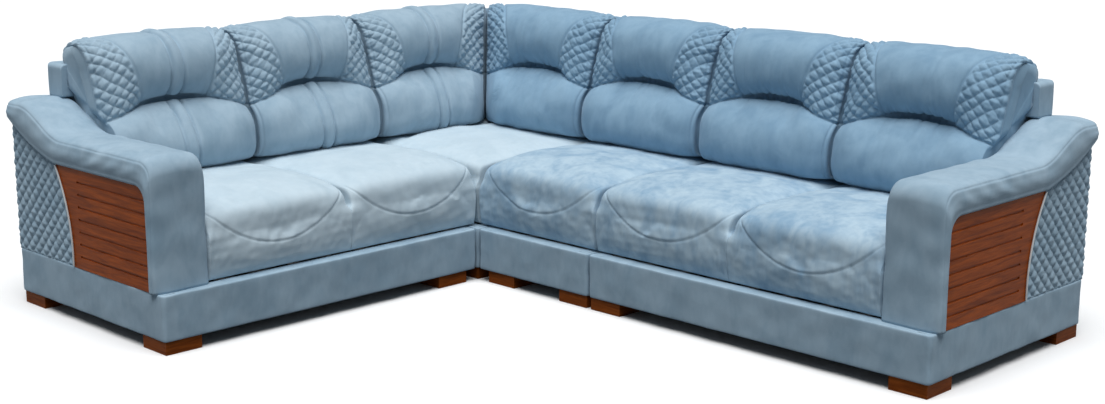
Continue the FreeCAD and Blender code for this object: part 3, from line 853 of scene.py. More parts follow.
@dataclass(frozen=True)
class BackCushion:
    """A back cushion: headrest roll, deep crease, lumbar roll, and quilted wings at its sides.

    A pair holds a measure in the cushion's middle and at its ends.
    """

    name: str
    wing: Wing
    body: str
    start: float
    end: float
    seed: int
    sewing: Sewing
    mitred: bool = False
    arm_from: float = 0.0
    arm_gap: float = 0.0008
    rear_gap: float = 0.0004
    mitre_gap: float = 0.0014
    lumbar_foot: Pair = (0.350, 0.284)
    lumbar_front: Pair = (0.404, 0.292)
    lumbar_level: Pair = (0.532, 0.526)
    crease_depth: Pair = (0.262, 0.258)
    crease_level: Pair = (0.690, 0.628)
    crease_reach: float = 0.38
    crease_fade: float = 0.34
    wing_depth: float = 0.330
    head_front: Pair = (0.316, 0.182)
    head_level: Pair = (0.792, 0.800)
    head_top_depth: Pair = (0.205, 0.133)
    head_rear_depth: Pair = (0.062, 0.078)
    head_rear_level: Pair = (0.868, 0.846)
    top: float = 0.905
    end_drop: float = 0.030
    seat_top: float = 0.4404
    case_top: float = 0.8154
    mitre_front: float = 0.300
    seam_at_crease: float = 0.128
    seam_at_top: float = 0.200
    seam_height: float = 0.27
    seam_depth: float = 0.0065
    tuck_off: float = 0.025
    tuck_depth: float = 0.0155
    crease_cut: float = 0.022
    edge_cut: float = 0.0150
    quilt_pitch: float = 0.041
    quilt_puff: float = 0.0085
    puff_cap: float = 0.008
    counts: tuple[int, ...] = (5, 15, 44, 32, 28, 18, 4, 3, 6)

    def rings(self, share: Array, counts: tuple[int, ...], reach: float) -> Array:
        """Return the cushion's sections, each an outline of nine bowed sides in depth and height.

        Args:
            share: The sections' places, from -1 to 1 across the cushion.
            counts: Points on each side of a section.
            reach: How far its corners are rounded, in points.

        Returns:
            (sections, points, 2) depth and height.
        """
        end = 1.0 - fullness(share)
        full = 1.0 - end
        fade = np.clip((np.abs(share) - self.crease_reach) / self.crease_fade, 0.0, 1.0)
        crease = mix((self.crease_depth[0], self.wing_depth), fade)
        crease = crease + (self.crease_depth[1] - crease) * end
        rear = BACK_DEPTH + self.rear_gap
        corners = np.stack([
            columns(rear, self.seat_top + 0 * share),
            columns(mix(self.lumbar_foot, end), self.seat_top),
            columns(mix(self.lumbar_front, end), mix(self.lumbar_level, end)),
            columns(crease, mix(self.crease_level, share * share)),
            columns(mix(self.head_front, end), mix(self.head_level, end)),
            columns(mix(self.head_top_depth, end), self.top - self.end_drop * end),
            columns(mix(self.head_rear_depth, end), mix(self.head_rear_level, end)),
            columns(mix(self.head_rear_depth, end), self.case_top),
            columns(rear, self.case_top + 0 * share),
        ], axis=1)
        bulges = columns(0.0, -0.006 - 0.012 * full, -0.008 - 0.016 * full,
                         -0.004 - 0.014 * full * (1.0 - fade), -0.008 - 0.022 * full, -0.008 - 0.012 * full,
                         0.0, 0.0, 0.0)
        return softened(outline(corners, bulges, counts), reach)

    def skin(self, share: Array, counts: tuple[int, ...], reach: float) -> tuple[Array, Array, Array]:
        """Return the cushion's plain skin and two measures over it.

        A mitred cushion's sections are sheared by (1 - way) ** 3 of their depth, which lays its corner
        end along the mitre.

        Args:
            share: The sections' places, from -1 to 1 across the cushion.
            counts: Points on each side of a section.
            reach: How far its corners are rounded, in points.

        Returns:
            Points in plan coordinates, the distance from the cushion's middle across it, and the distance up
            the front from the crease.
        """
        ring = self.rings(share, counts, reach)
        if self.mitred:
            first = self.mitre_front + self.mitre_gap
            length = self.end - SIDE_GAP - first
            way = ((share + 1.0) / 2.0)[:, None]
            across = first + length * way + (1.0 - way) ** 3 * (ring[..., 0] - self.mitre_front)
            lateral = np.broadcast_to(share[:, None] * length / 2.0, ring.shape[:2])
        else:
            half = (self.end - self.start) / 2.0 - SIDE_GAP
            lateral = np.broadcast_to(share[:, None] * half, ring.shape[:2])
            across = (self.start + self.end) / 2.0 + lateral
        length = running_length(ring)
        rise = length - length[:, sum(counts[:3]), None]
        return np.concatenate([across[..., None], ring], axis=-1), lateral, rise

    def seam(self, rise: Array) -> Array:
        """Return how far from the middle the wing's inner seam runs, at a distance up from the crease."""
        climb = np.clip(rise / self.seam_height, 0.0, 1.3)
        return self.seam_at_crease + (self.seam_at_top - self.seam_at_crease) * climb ** 1.15

    def filling(self, coarse: Array) -> Array:
        """Fill the cover between its seams with a cloth simulation.

        Args:
            coarse: The sections' places, from -1 to 1 across the cushion.

        Returns:
            (sections, points, 3) moves.
        """
        plain, lateral, rise = self.skin(coarse, self.counts, 1.5)
        off = np.abs(lateral)
        resting = (plain[..., 1] < BACK_DEPTH + 0.02) | (plain[..., 2] < self.seat_top + 0.012)
        sewn = (np.abs(rise) < 0.007) | ((np.abs(off - self.seam(rise)) < 0.007) & (rise > 0.0))
        if self.sewing is Sewing.TUCKED:
            sewn |= np.abs(off - self.tuck_off) < 0.004
        return swelling(plain, resting | sewn, self.puff_cap)

    def relief(self, lateral: Array, rise: Array) -> Array:
        """Return how far the surface stands out from the plain form.

        Args:
            lateral: Distance from the cushion's middle, across it.
            rise: Distance up the front from the crease, negative below it.

        Returns:
            The sum of the quilted puffs on the wings, the seams, the crease, and the tucks or gathers.
        """
        off = np.abs(lateral)
        half = (self.end - self.start) / 2.0
        seam = self.seam(rise)
        wing = smoothstep(off - seam, 0.0, 0.012) * smoothstep(rise, 0.0, 0.010)
        warp = 0.0035 * ripples(lateral, rise, self.seed, 0.10)
        first = np.abs(np.sin(np.pi * (off + rise + warp) / self.quilt_pitch))
        second = np.abs(np.sin(np.pi * (off - rise - warp) / self.quilt_pitch))
        puffs = first ** 0.40 * second ** 0.55
        wing *= smoothstep(half - off, 0.002, 0.014)
        uneven = 0.0010 * ripples(lateral, rise, self.seed + 3, 0.020)
        relief = wing * (self.quilt_puff * (puffs - 0.55) + uneven)
        above = smoothstep(rise, -0.004, 0.004)
        relief -= self.seam_depth * groove(off - seam, 0.0045) * above
        outside = smoothstep(off, self.seam_at_crease - 0.03, self.seam_at_crease)
        relief -= 0.0060 * groove(rise, 0.0045) * outside
        inside = 1.0 - smoothstep(off, self.seam_at_crease - 0.07, self.seam_at_crease + 0.012)
        relief -= self.crease_cut * groove(rise, 0.0075) * inside
        relief -= 0.0024 * groove(off - (half - 0.016), 0.0032)
        relief -= self.edge_cut * groove(off - half, 0.0052)
        middle = 1.0 - smoothstep(off, self.seam_at_crease - 0.03, self.seam_at_crease + 0.03)
        relief += self.sewn(lateral, rise) * middle
        relief += 0.0016 * ripples(lateral, rise, self.seed + 7, 0.13)
        return relief

    def sewn(self, lateral: Array, rise: Array) -> Array:
        """Return the pair of tucks, or the random gathers that fade away from the crease.

        Args:
            lateral: Distance from the cushion's middle, across it.
            rise: Distance up the front from the crease, negative below it.

        Returns:
            The height over the plain form at each point.
        """
        if self.sewing is Sewing.TUCKED:
            off = np.abs(np.abs(lateral + 0.006 * np.sin(rise * 9.0)) - self.tuck_off)
            ridge = 0.0070 * groove(lateral, 0.016)
            return (ridge - self.tuck_depth * groove(off, 0.0048)) * smoothstep(np.abs(rise), 0.006, 0.022)
        random = np.random.default_rng(self.seed + 11)
        total = np.zeros(np.broadcast(lateral, rise).shape)
        for _ in range(12):
            line = random.uniform(-0.12, 0.12) + random.uniform(-0.12, 0.12) * rise
            fade = np.exp(-np.abs(rise) / random.uniform(0.035, 0.11)) * np.where(rise > 0.0, 1.0, 0.55)
            depth = random.uniform(0.0030, 0.0060)
            total -= depth * groove(lateral - line, random.uniform(0.0035, 0.0060)) * fade
        return total

    def build(self, finish: bpy.types.Material) -> bpy.types.Object:
        """Build the cushion and tie it to its body.

        Args:
            finish: Its velvet.

        Returns:
            The finished cushion.
        """
        coarse = stations(60, 0.8)
        move = self.filling(coarse)
        share = stations(196, 0.8)
        skin, lateral, rise = self.skin(share, doubled(self.counts), 3.0)
        shown = smoothstep(rise, -0.36, -0.33) * (1.0 - smoothstep(rise, 0.47, 0.50))
        room = fullness(share, 40.0)[:, None]
        loose = fullness(share, 2.0)[:, None, None]
        relief = (self.relief(lateral, rise) * shown * room)[..., None]
        skin = skin + ring_normals(skin) * relief + refined(move, coarse, share) * loose
        skin[..., 2] = np.maximum(skin[..., 2], self.seat_top)
        if self.arm_from:
            skin = self.cleared(skin)
        piece = closed_tube(self.name, self.wing.place(skin), flip=self.wing is Wing.RIGHT)
        dress(piece, finish)
        settle(piece, self.body, (self.name.removesuffix("_form"),))
        return piece

    def cleared(self, skin: Array) -> Array:
        """Draw in what would meet the arm, less and less with the height over the arm's swooping top.

        Args:
            skin: (sections, points, 3) plan points.

        Returns:
            The same points, clear of the arm.
        """
        room = arm_top(skin[..., 1]) + self.arm_gap
        share = smoothstep(skin[..., 2] - room, 0.0, 0.045)
        beyond = np.maximum(skin[..., 0] - (self.arm_from - self.arm_gap), 0.0)
        lifted = skin.copy()
        lifted[..., 0] = skin[..., 0] - beyond * (1.0 - share)
        return lifted


def arm_top(depth: Array) -> Array:
    """Return the height of the arm's top at a depth: high at the rear, then an S curve down to level."""
    swoop = 0.5 - 0.5 * np.cos(np.pi * np.clip((depth - SWOOP_START) / SWOOP_LENGTH, 0.0, 1.0))
    return ARM_REAR_TOP - (ARM_REAR_TOP - ARM_TOP) * swoop


# Arms.

@dataclass(frozen=True)
class ArmPad:
    """The padded arm: a roll that runs along the top, round the front corner and down to the base.

    Its lip follows the upper edge of the side's wood and quilting.
    """

    name: str
    wing: Wing
    body: str
    start: float
    lip: float = 0.010
    swoop_end: float = 0.330
    front_round: float = 0.055
    wood_front: float = 0.835
    wood_corner: float = 0.055
    lip_level: float = 0.520
    lip_rear: float = 0.637
    lip_meets: float = 0.292
    lip_bow: float = 0.015
    edge_round: float = 0.030
    crown: float = 0.006
    seam_below: float = 0.014
    board: float = 0.015
    board_gap: float = 0.001

    def paths(self) -> tuple[Array, Array]:
        """Trace the arm from the rear along its top, round the front corner and down.

        Returns:
            The outer path over the arm's top and front, and the inner path along its lip, as depth and
            height. They have the same number of points.
        """
        swoop = np.linspace(0.0, self.swoop_end, 70)
        along = np.linspace(0.0, 1.0, 70)[:, None]
        level = np.linspace(0.0, 1.0, 61)[1:, None]
        turn = np.linspace(0.0, np.pi / 2.0, 26)[1:]
        down = np.linspace(0.0, 1.0, 49)[1:, None]
        turn_from = SEAT_FRONT - self.front_round
        turn_level = ARM_TOP - self.front_round
        lip_turn = self.wood_front - self.wood_corner
        lip_side = self.lip_level - self.wood_corner
        outer = [
            np.stack([swoop, arm_top(swoop)], axis=-1),
            mix_points((self.swoop_end, ARM_TOP), (turn_from, ARM_TOP), level),
            quarter((turn_from, turn_level), self.front_round, turn),
            mix_points((SEAT_FRONT, turn_level), (SEAT_FRONT, PAD_BOTTOM), down),
        ]
        inner = [
            bowed((0.0, self.lip_rear), (self.lip_meets, self.lip_level), self.lip_bow, along),
            mix_points((self.lip_meets, self.lip_level), (lip_turn, self.lip_level), level),
            quarter((lip_turn, lip_side), self.wood_corner, turn),
            mix_points((self.wood_front, lip_side), (self.wood_front, PAD_BOTTOM), down),
        ]
        return np.concatenate(outer), np.concatenate(inner)

    def build(self, finish: bpy.types.Material) -> bpy.types.Object:
        """Build the arm's roll and the padded board of its inner side, and tie them to the body.

        At each point of the paths a section of seven bowed sides reaches from the outer path to the inner.

        Args:
            finish: Its velvet.

        Returns:
            The finished arm.
        """
        outer, inner = self.paths()
        depth = np.linalg.norm(inner - outer, axis=-1)
        full_width = ARM_WIDTH + self.lip
        round_off = np.minimum(self.edge_round, depth * 0.45)
        tuck = np.minimum(0.016, depth * 0.3)
        corners = np.stack([
            columns(ARM_WIDTH, depth),
            columns(full_width, depth - tuck),
            columns(full_width, round_off),
            columns(full_width - round_off, 0.0),
            columns(round_off, 0.0),
            columns(0.0, round_off),
            columns(0.0, depth),
        ], axis=1)
        bow = round_off * ROUND_BOW
        bulges = columns(0.005, depth * 0.05, bow, self.crown, bow, 0.0, 0.0)
        section = softened(outline(corners, bulges, (10, 22, 16, 52, 12, 14, 18)), 1.6)
        across, into = section[..., 0], section[..., 1]
        toward = (inner - outer) / depth[:, None]
        side = outer[:, None, :] + toward[:, None, :] * into[..., None]
        skin = np.concatenate([(self.start + across)[..., None], side], axis=-1)
        way = np.concatenate([[0.0], np.cumsum(np.linalg.norm(np.diff(outer, axis=0), axis=-1))])[:, None]
        shown = smoothstep(-into, -depth[:, None] * 0.8, -depth[:, None] * 0.5)
        relief = 0.0015 * ripples(across, way + into, 71, 0.12)
        outside = smoothstep(across, full_width - 0.012, full_width - 0.006)
        seam = np.minimum(self.seam_below, depth[:, None] * 0.4)
        relief = relief - 0.0018 * groove(into - seam, 0.0022) * outside
        skin = skin + ring_normals(skin) * (relief * shown)[..., None]
        roll = closed_tube(self.name, self.wing.place(skin), flip=self.wing is Wing.LEFT)
        roll = joined(roll, self.inner_board())
        dress(roll, finish)
        settle(roll, self.body, (self.name.removesuffix("_roll"),))
        return roll

    def inner_board(self) -> bpy.types.Object:
        """Make the board under the roll on the seats' side, an outline of five sides swept across.

        Returns:
            The board, which has no finish yet.
        """
        share = stations(14)
        ease = 0.006 * (1.0 - fullness(share, 2.0))
        rear = BACK_DEPTH + self.board_gap + ease
        front = self.wood_front + 0.002 - ease
        low, high = PAD_BOTTOM + ease, self.lip_level + 0.010 - ease
        corners = np.stack([
            columns(rear, low),
            columns(front, low),
            columns(front, high - self.wood_corner),
            columns(self.wood_front - self.wood_corner - ease, high),
            columns(rear, high),
        ], axis=1)
        bulges = columns(0.0 * share, 0.0, -self.wood_corner * ROUND_BOW, 0.0, 0.0)
        ring = outline(corners, bulges, (30, 12, 10, 30, 16))
        half = self.board / 2.0
        across = np.broadcast_to((self.start + half + share * half)[:, None], ring.shape[:2])
        skin = np.concatenate([across[..., None], ring], axis=-1)
        return closed_tube(self.name + "_board", self.wing.place(skin), flip=self.wing is Wing.RIGHT)


def mix_points(first: Pair, second: Pair, share: Array) -> Array:
    """Return points a share of the way from first to second."""
    return np.array(first) + (np.array(second) - np.array(first)) * share


def quarter(centre: Pair, radius: float, turn: Array) -> Array:
    """Return a quarter round that starts at its top and turns towards the front."""
    return np.array(centre) + radius * np.stack([np.sin(turn), np.cos(turn)], axis=-1)


def joined(first: bpy.types.Object, second: bpy.types.Object) -> bpy.types.Object:
    """Join the second mesh object into the first.

    Args:
        first: The object that stays.
        second: The object that becomes part of it.

    Returns:
        The first object.
    """
    bpy.ops.object.select_all(action="DESELECT")
    first.select_set(True)
    second.select_set(True)
    bpy.context.view_layer.objects.active = first
    bpy.ops.object.join()
    return first


@dataclass(frozen=True)
class QuiltedPanel:
    """The quilted rear part of the arm's outer side, wrapped round the rear corner.

    Its front edge runs from the foot up to where it meets the lip, and its top edge from there to the rear.
    """

    name: str
    wing: Wing
    body: str
    start: float
    outer: float
    pitch: float = 0.046
    puff: float = 0.0095
    foot: float = 0.3756
    meets: float = 0.292
    lip_level: float = 0.5196
    lip_rear: float = 0.6366
    front_bow: float = 0.026
    top_bow: float = 0.015
    corner: float = 0.012
    inset: float = 0.004
    wall: float = 0.010

    def patch(self) -> tuple[Array, Array]:
        """Fill the panel's four edges with a patch.

        It is the sum of the two straight blends between opposite edges, less the blend of the corners.

        Returns:
            (165, 175, 2) depth and height, from the front edge to the rear and from the foot to the top,
            and each point's distance from the nearest edge but the rear one.
        """
        a = np.linspace(0.0, 1.0, 165)[:, None, None]
        b = np.linspace(0.0, 1.0, 175)[None, :, None]
        foot, rear_foot = (self.foot, PAD_BOTTOM), (0.0, PAD_BOTTOM)
        meets, rear_top = (self.meets, self.lip_level), (0.0, self.lip_rear)
        front = bowed(foot, meets, self.front_bow, b)
        rear = mix_points(rear_foot, rear_top, b)
        low = mix_points(foot, rear_foot, a)
        high = bowed(meets, rear_top, self.top_bow, a)
        blend = (1 - a) * (1 - b) * np.array(foot) + a * (1 - b) * np.array(rear_foot)
        blend = blend + (1 - a) * b * np.array(meets) + a * b * np.array(rear_top)
        side = (1 - a) * front + a * rear + (1 - b) * low + b * high - blend
        edge = np.minimum(a[..., 0], b[..., 0] * 1.2) * 0.37
        return side, np.minimum(edge, (1.0 - b[..., 0]) * 0.4)

    def build(self, finish: bpy.types.Material) -> bpy.types.Object:
        """Build the panel with sewn diamond puffs and a plain strip round the rear corner.

        The puffs are (|sin| * |sin|) ** 0.55 along both diagonals and flatten towards the edges.

        Args:
            finish: Its velvet.

        Returns:
            The finished panel.
        """
        side, edge = self.patch()
        depth, height = side[..., 0], side[..., 1]
        first = np.abs(np.sin(np.pi * (depth + height - PAD_BOTTOM) / self.pitch))
        second = np.abs(np.sin(np.pi * (depth - height + PAD_BOTTOM) / self.pitch))
        puffs = self.puff * ((first * second) ** 0.55 - 0.45) * smoothstep(edge, 0.0, 0.010)
        puffs += 0.0008 * ripples(depth, height, 17, 0.02)
        corner = smoothstep(-depth, -self.corner, 0.0)
        across = self.outer - self.inset + puffs * (1 - corner) - self.corner * corner ** 2 * 0.5
        flank = np.stack([across, depth, height], axis=-1)
        back = np.linspace(0.0, 1.0, 24)[1:, None]
        far = flank[-1:, :, 0] - self.corner * 0.3
        uneven = 0.0010 * ripples(back * 0.19, height[-1:], 23, 0.1) * np.sin(np.pi * back) ** 2
        strip = columns(far + (self.start + 0.0005 - far) * back, uneven, height[-1:])
        skin = np.concatenate([flank, strip], axis=0)
        piece = open_sheet(self.name, self.wing.place(skin), flip=self.wing is Wing.RIGHT)
        thicken(piece, self.wall)
        dress(piece, finish)
        settle(piece, self.body, (self.name.removesuffix("_quilt"),))
        return piece


def bowed(first: Pair, second: Pair, bow: float, share: Array) -> Array:
    """Trace a shallow bow: first + chord * share + right * bow * 4 share (1 - share).

    Args:
        first: Where it starts.
        second: Where it ends.
        bow: How far its middle stands to the right of the straight way.
        share: The points' shares of the way.

    Returns:
        (..., 2) points.
    """
    start, stop = np.array(first), np.array(second)
    chord = stop - start
    right = np.array([chord[1], -chord[0]]) / np.hypot(*chord)
    return start + chord * share + right * bow * 4.0 * share * (1.0 - share)


@dataclass(frozen=True)
class Piping:
    """The pale cord sewn along the edge between the quilting and the wood."""

    name: str
    wing: Wing
    body: str
    outer: float
    radius: float = 0.003
    foot: float = 0.376
    meets: float = 0.292
    top: float = 0.517
    bow: float = 0.026
    strands: float = 3.0
    turns: float = 45.0

    def build(self, finish: bpy.types.Material) -> bpy.types.Object:
        """Build the cord: a circle with a light twist carried along the bowed edge.

        Args:
            finish: Its velvet.

        Returns:
            The finished cord.
        """
        t = np.linspace(0.0, 1.0, 160)[:, None]
        line = bowed((self.foot, PAD_BOTTOM + self.radius), (self.meets, self.top), self.bow, t)
        along = np.gradient(line, axis=0)
        along /= np.linalg.norm(along, axis=-1, keepdims=True)
        turn = np.linspace(0.0, 2.0 * np.pi, 20, endpoint=False)[None, :]
        twist = 1.0 + 0.10 * np.cos(self.strands * turn + 2.0 * np.pi * t * self.turns)
        sideways = self.radius * twist * np.cos(turn)
        outwards = self.radius * twist * np.sin(turn)
        skin = np.stack([
            self.outer + self.radius + outwards,
            line[:, :1] + along[:, 1:] * sideways,
            line[:, 1:] - along[:, :1] * sideways,
        ], axis=-1)
        piece = closed_tube(self.name, self.wing.place(skin), flip=self.wing is Wing.LEFT, inset_steps=2)
        dress(piece, finish)
        settle(piece, self.body, (self.name.removesuffix("_cord"),))
        return piece


# Backs, base bands and lining.

@dataclass(frozen=True)
class BackCase:
    """The upholstered case of a back, with a sewn border, reaching over the arm where there is one."""

    name: str
    wing: Wing
    body: str
    start: float
    end: float
    over_arm: float = 0.0
    top: float = 0.815
    foot_over_arm: float = 0.7010
    edge_round: float = 0.016
    border: float = 0.030
    seam_depth: float = 0.0025

    def build(self, finish: bpy.types.Material) -> bpy.types.Object:
        """Build the case: rounded outlines in depth and height, stepped up where it passes over the arm.

        Args:
            finish: Its velvet.

        Returns:
            The finished case.
        """
        share = stations(60)
        last = self.end + self.over_arm
        across = (self.start + last) / 2.0 + share * (last - self.start) / 2.0
        low = np.full_like(across, PAD_BOTTOM)
        if self.over_arm:
            step = self.end - 0.0006
            across = np.sort(np.concatenate([across, [step - 0.0001, step]]))
            low = np.where(across < step - 0.00005, PAD_BOTTOM, self.foot_over_arm)
        edge = np.minimum(across - self.start, last - across)
        ease = self.edge_round * (1.0 - fullness(np.clip(1.0 - edge / 0.020, 0.0, 1.0), 2.0))
        corners = np.stack([
            columns(ease, low),
            columns(BACK_DEPTH, low),
            columns(BACK_DEPTH, self.top - ease),
            columns(ease, self.top - ease),
        ], axis=1)
        ring = softened(outline(corners, columns(0 * ease, 0.0, 0.0, -0.0015), (12, 50, 30, 66)), 1.6)
        ring = np.concatenate([np.maximum(ring[..., :1], 0.0), ring[..., 1:]], axis=-1)
        skin = np.concatenate([np.broadcast_to(across[:, None, None], ring.shape[:2] + (1,)), ring], axis=-1)
        rear = 1.0 - smoothstep(ring[..., 0], 0.004, 0.02)
        border = np.minimum(skin[..., 0] - self.start, last - skin[..., 0])
        border = np.minimum(border, self.top - ring[..., 1])
        seam = self.seam_depth * groove(border - self.border, 0.0035)
        skin[..., 1] += (seam + 0.0006 * (1.0 + ripples(skin[..., 0], ring[..., 1], 31, 0.2))) * rear
        piece = closed_tube(self.name, self.wing.place(skin), flip=self.wing is Wing.RIGHT)
        dress(piece, finish)
        settle(piece, self.body, (self.name.removesuffix("_cover"),))
        return piece


@dataclass(frozen=True)
class BaseBand:
    """The padded band round a module's plinth."""

    name: str
    body: str
    seed: int
    wall: float = 0.020
    flange: float = 0.052
    corner: float = 0.014
    puff: float = 0.0015
    cloth: float = 0.0003
    pitch: float = 0.016

    def build(self, finish: bpy.types.Material) -> bpy.types.Object:
        """Build the band: a soft-edged wall section carried round a rectangle with rounded corners.

        At the top its cloth turns inwards over the rail, so that no frame shows beside the seats.

        Args:
            finish: Its velvet.

        Returns:
            The finished band.
        """
        node = self.name.removesuffix("_cover")
        low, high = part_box(node)
        x, y, out = rounded_rectangle(low, high, self.corner, self.pitch)
        hem = high.z - self.cloth
        top = high.z + self.cloth
        thick = np.array([0.0, 0.0, self.flange, self.flange, self.wall, self.wall])
        level = np.array([low.z, high.z, top, hem, hem, low.z])
        bulge = np.array([[self.puff, 0.0, 0.0, 0.0, 0.0, 0.0]])
        section = np.stack([thick, level], axis=-1)[None]
        ring = softened(outline(section, bulge, (34, 22, 2, 12, 10, 6)), 0.8)[0]
        ring[:, 1] = np.clip(ring[:, 1], low.z, top)
        inward = np.maximum(ring[:, 0], -0.0005)
        way = np.concatenate([[0.0], np.cumsum(np.hypot(np.diff(x), np.diff(y)))])[:, None]
        face = 1.0 - smoothstep(inward[None, :], 0.001, 0.006)
        relief = 0.0011 * ripples(way, ring[None, :, 1], self.seed, 0.17) * face
        relief = relief + 0.0006 * ripples(way, ring[None, :, 1] * 0.6, self.seed + 5, 0.045) * face
        reach = inward[None, :] - relief + 0.0012
        points = np.stack([x[:, None] - out[:, :1] * reach, y[:, None] - out[:, 1:] * reach,
                           np.broadcast_to(ring[None, :, 1], reach.shape)], axis=-1)
        rows, cols = points.shape[:2]
        faces = grid_faces(rows + 1, cols, around=True) % (rows * cols)
        piece = make_object(self.name, points, faces[:, ::-1].tolist())
        dress(piece, finish)
        settle(piece, self.body, (node,))
        return piece


def rounded_rectangle(low: Vector, high: Vector, radius: float, pitch: float) -> tuple[Array, Array, Array]:
    """Walk once round a rectangle with rounded corners, anticlockwise from above.

    Args:
        low: Its lowest corner.
        high: Its highest corner.
        radius: The radius of its corners.
        pitch: About how far apart the points on its sides are.

    Returns:
        The points' x, their y and the outward directions.
    """
    xs, ys, outs = [], [], []
    corners = [(high.x - radius, low.y + radius), (high.x - radius, high.y - radius),
               (low.x + radius, high.y - radius), (low.x + radius, low.y + radius)]
    for index, (cx, cy) in enumerate(corners):
        turn = np.linspace(-np.pi / 2.0, 0.0, 9) + index * np.pi / 2.0
        out = np.stack([np.cos(turn), np.sin(turn)], axis=-1)
        xs.append(cx + radius * out[:, 0])
        ys.append(cy + radius * out[:, 1])
        outs.append(out)
        nx, ny = corners[(index + 1) % 4]
        last = out[-1]
        count = max(int(math.hypot(nx - cx, ny - cy) / pitch), 2)
        t = np.linspace(0.0, 1.0, count, endpoint=False)[1:]
        xs.append(cx + radius * last[0] + (nx - cx) * t)
        ys.append(cy + radius * last[1] + (ny - cy) * t)
        outs.append(np.broadcast_to(last, (len(t), 2)))
    return np.concatenate(xs), np.concatenate(ys), np.concatenate(outs)


@dataclass(frozen=True)
class Lining:
    """The black cloth stretched under a module's base."""

    name: str
    body: str
    sag: float = 0.0035
    cloth: float = 0.0009

    def build(self, finish: bpy.types.Material) -> bpy.types.Object:
        """Build the cloth: flat at its stapled edges, sagging by sin * sin in its middle.

        Args:
            finish: Its lining.

        Returns:
            The finished cloth.
        """
        node = self.name.removesuffix("_cloth_sheet") + "_cloth"
        low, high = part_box(node)
        a = np.linspace(0.0, 1.0, 30)[:, None]
        b = np.linspace(0.0, 1.0, 30)[None, :]
        x = low.x + (high.x - low.x) * a + 0 * b
        y = low.y + (high.y - low.y) * b + 0 * a
        inside = smoothstep(np.sin(np.pi * a) * np.sin(np.pi * b), 0.25, 0.9)
        z = high.z - 0.0002 - self.sag * inside + 0.0004 * ripples(x, y, 5, 0.12) * inside
        piece = open_sheet(self.name, np.stack([x, y, z], axis=-1), flip=False)
        thicken(piece, self.cloth)
        dress(piece, finish)
        settle(piece, self.body, (node,))
        return piece


# The sofa.

@dataclass(frozen=True)
class EndModule:
    """A two-seat module with its arm."""

    side: str
    wing: Wing
    seat_start: float
    sewing: Sewing
    seed: int
    cushion_over_arm: float = 0.028
    case_over_arm: float = 0.048

    def build(self, finishes: Finishes) -> None:
        """Build the module's seats, cushions, arm and back.

        Args:
            finishes: The sofa's finishes.
        """
        body = self.side + "_module"
        middle = self.seat_start + SEAT_WIDTH
        end = middle + SEAT_WIDTH
        outer = end + ARM_WIDTH
        pressed = self.wing is Wing.RIGHT
        # The right wing's seats and back cushions take the darker velvets, which paint shade where the nap
        # is seen from another side.
        cloth = finishes.pressed if pressed else finishes.seat
        cover = finishes.shaded if pressed else finishes.velvet
        SeatPad(self.side + "_inner_seat_pad", self.wing, body, self.seat_start, middle, self.seed,
                pressed=pressed, parted=(True, False)).build(cloth)
        SeatPad(self.side + "_outer_seat_pad", self.wing, body, middle, end, self.seed + 1,
                pressed=pressed, parted=(False, True)).build(cloth)
        BackCushion(self.side + "_inner_back_cushion_form", self.wing, body, self.seat_start, middle,
                    self.seed + 2, self.sewing).build(cover)
        BackCushion(self.side + "_outer_back_cushion_form", self.wing, body, middle,
                    end + self.cushion_over_arm, self.seed + 3, self.sewing, arm_from=end).build(cover)
        ArmPad(self.side + "_arm_pad_roll", self.wing, body, end).build(finishes.velvet)
        QuiltedPanel(self.side + "_arm_quilted_panel_quilt", self.wing, body, end,
                     outer).build(finishes.velvet)
        Piping(self.side + "_arm_piping_cord", self.wing, body, outer).build(finishes.piping)
        BackCase(self.side + "_back_case_cover", self.wing, body, self.seat_start, end,
                 self.case_over_arm).build(finishes.velvet)


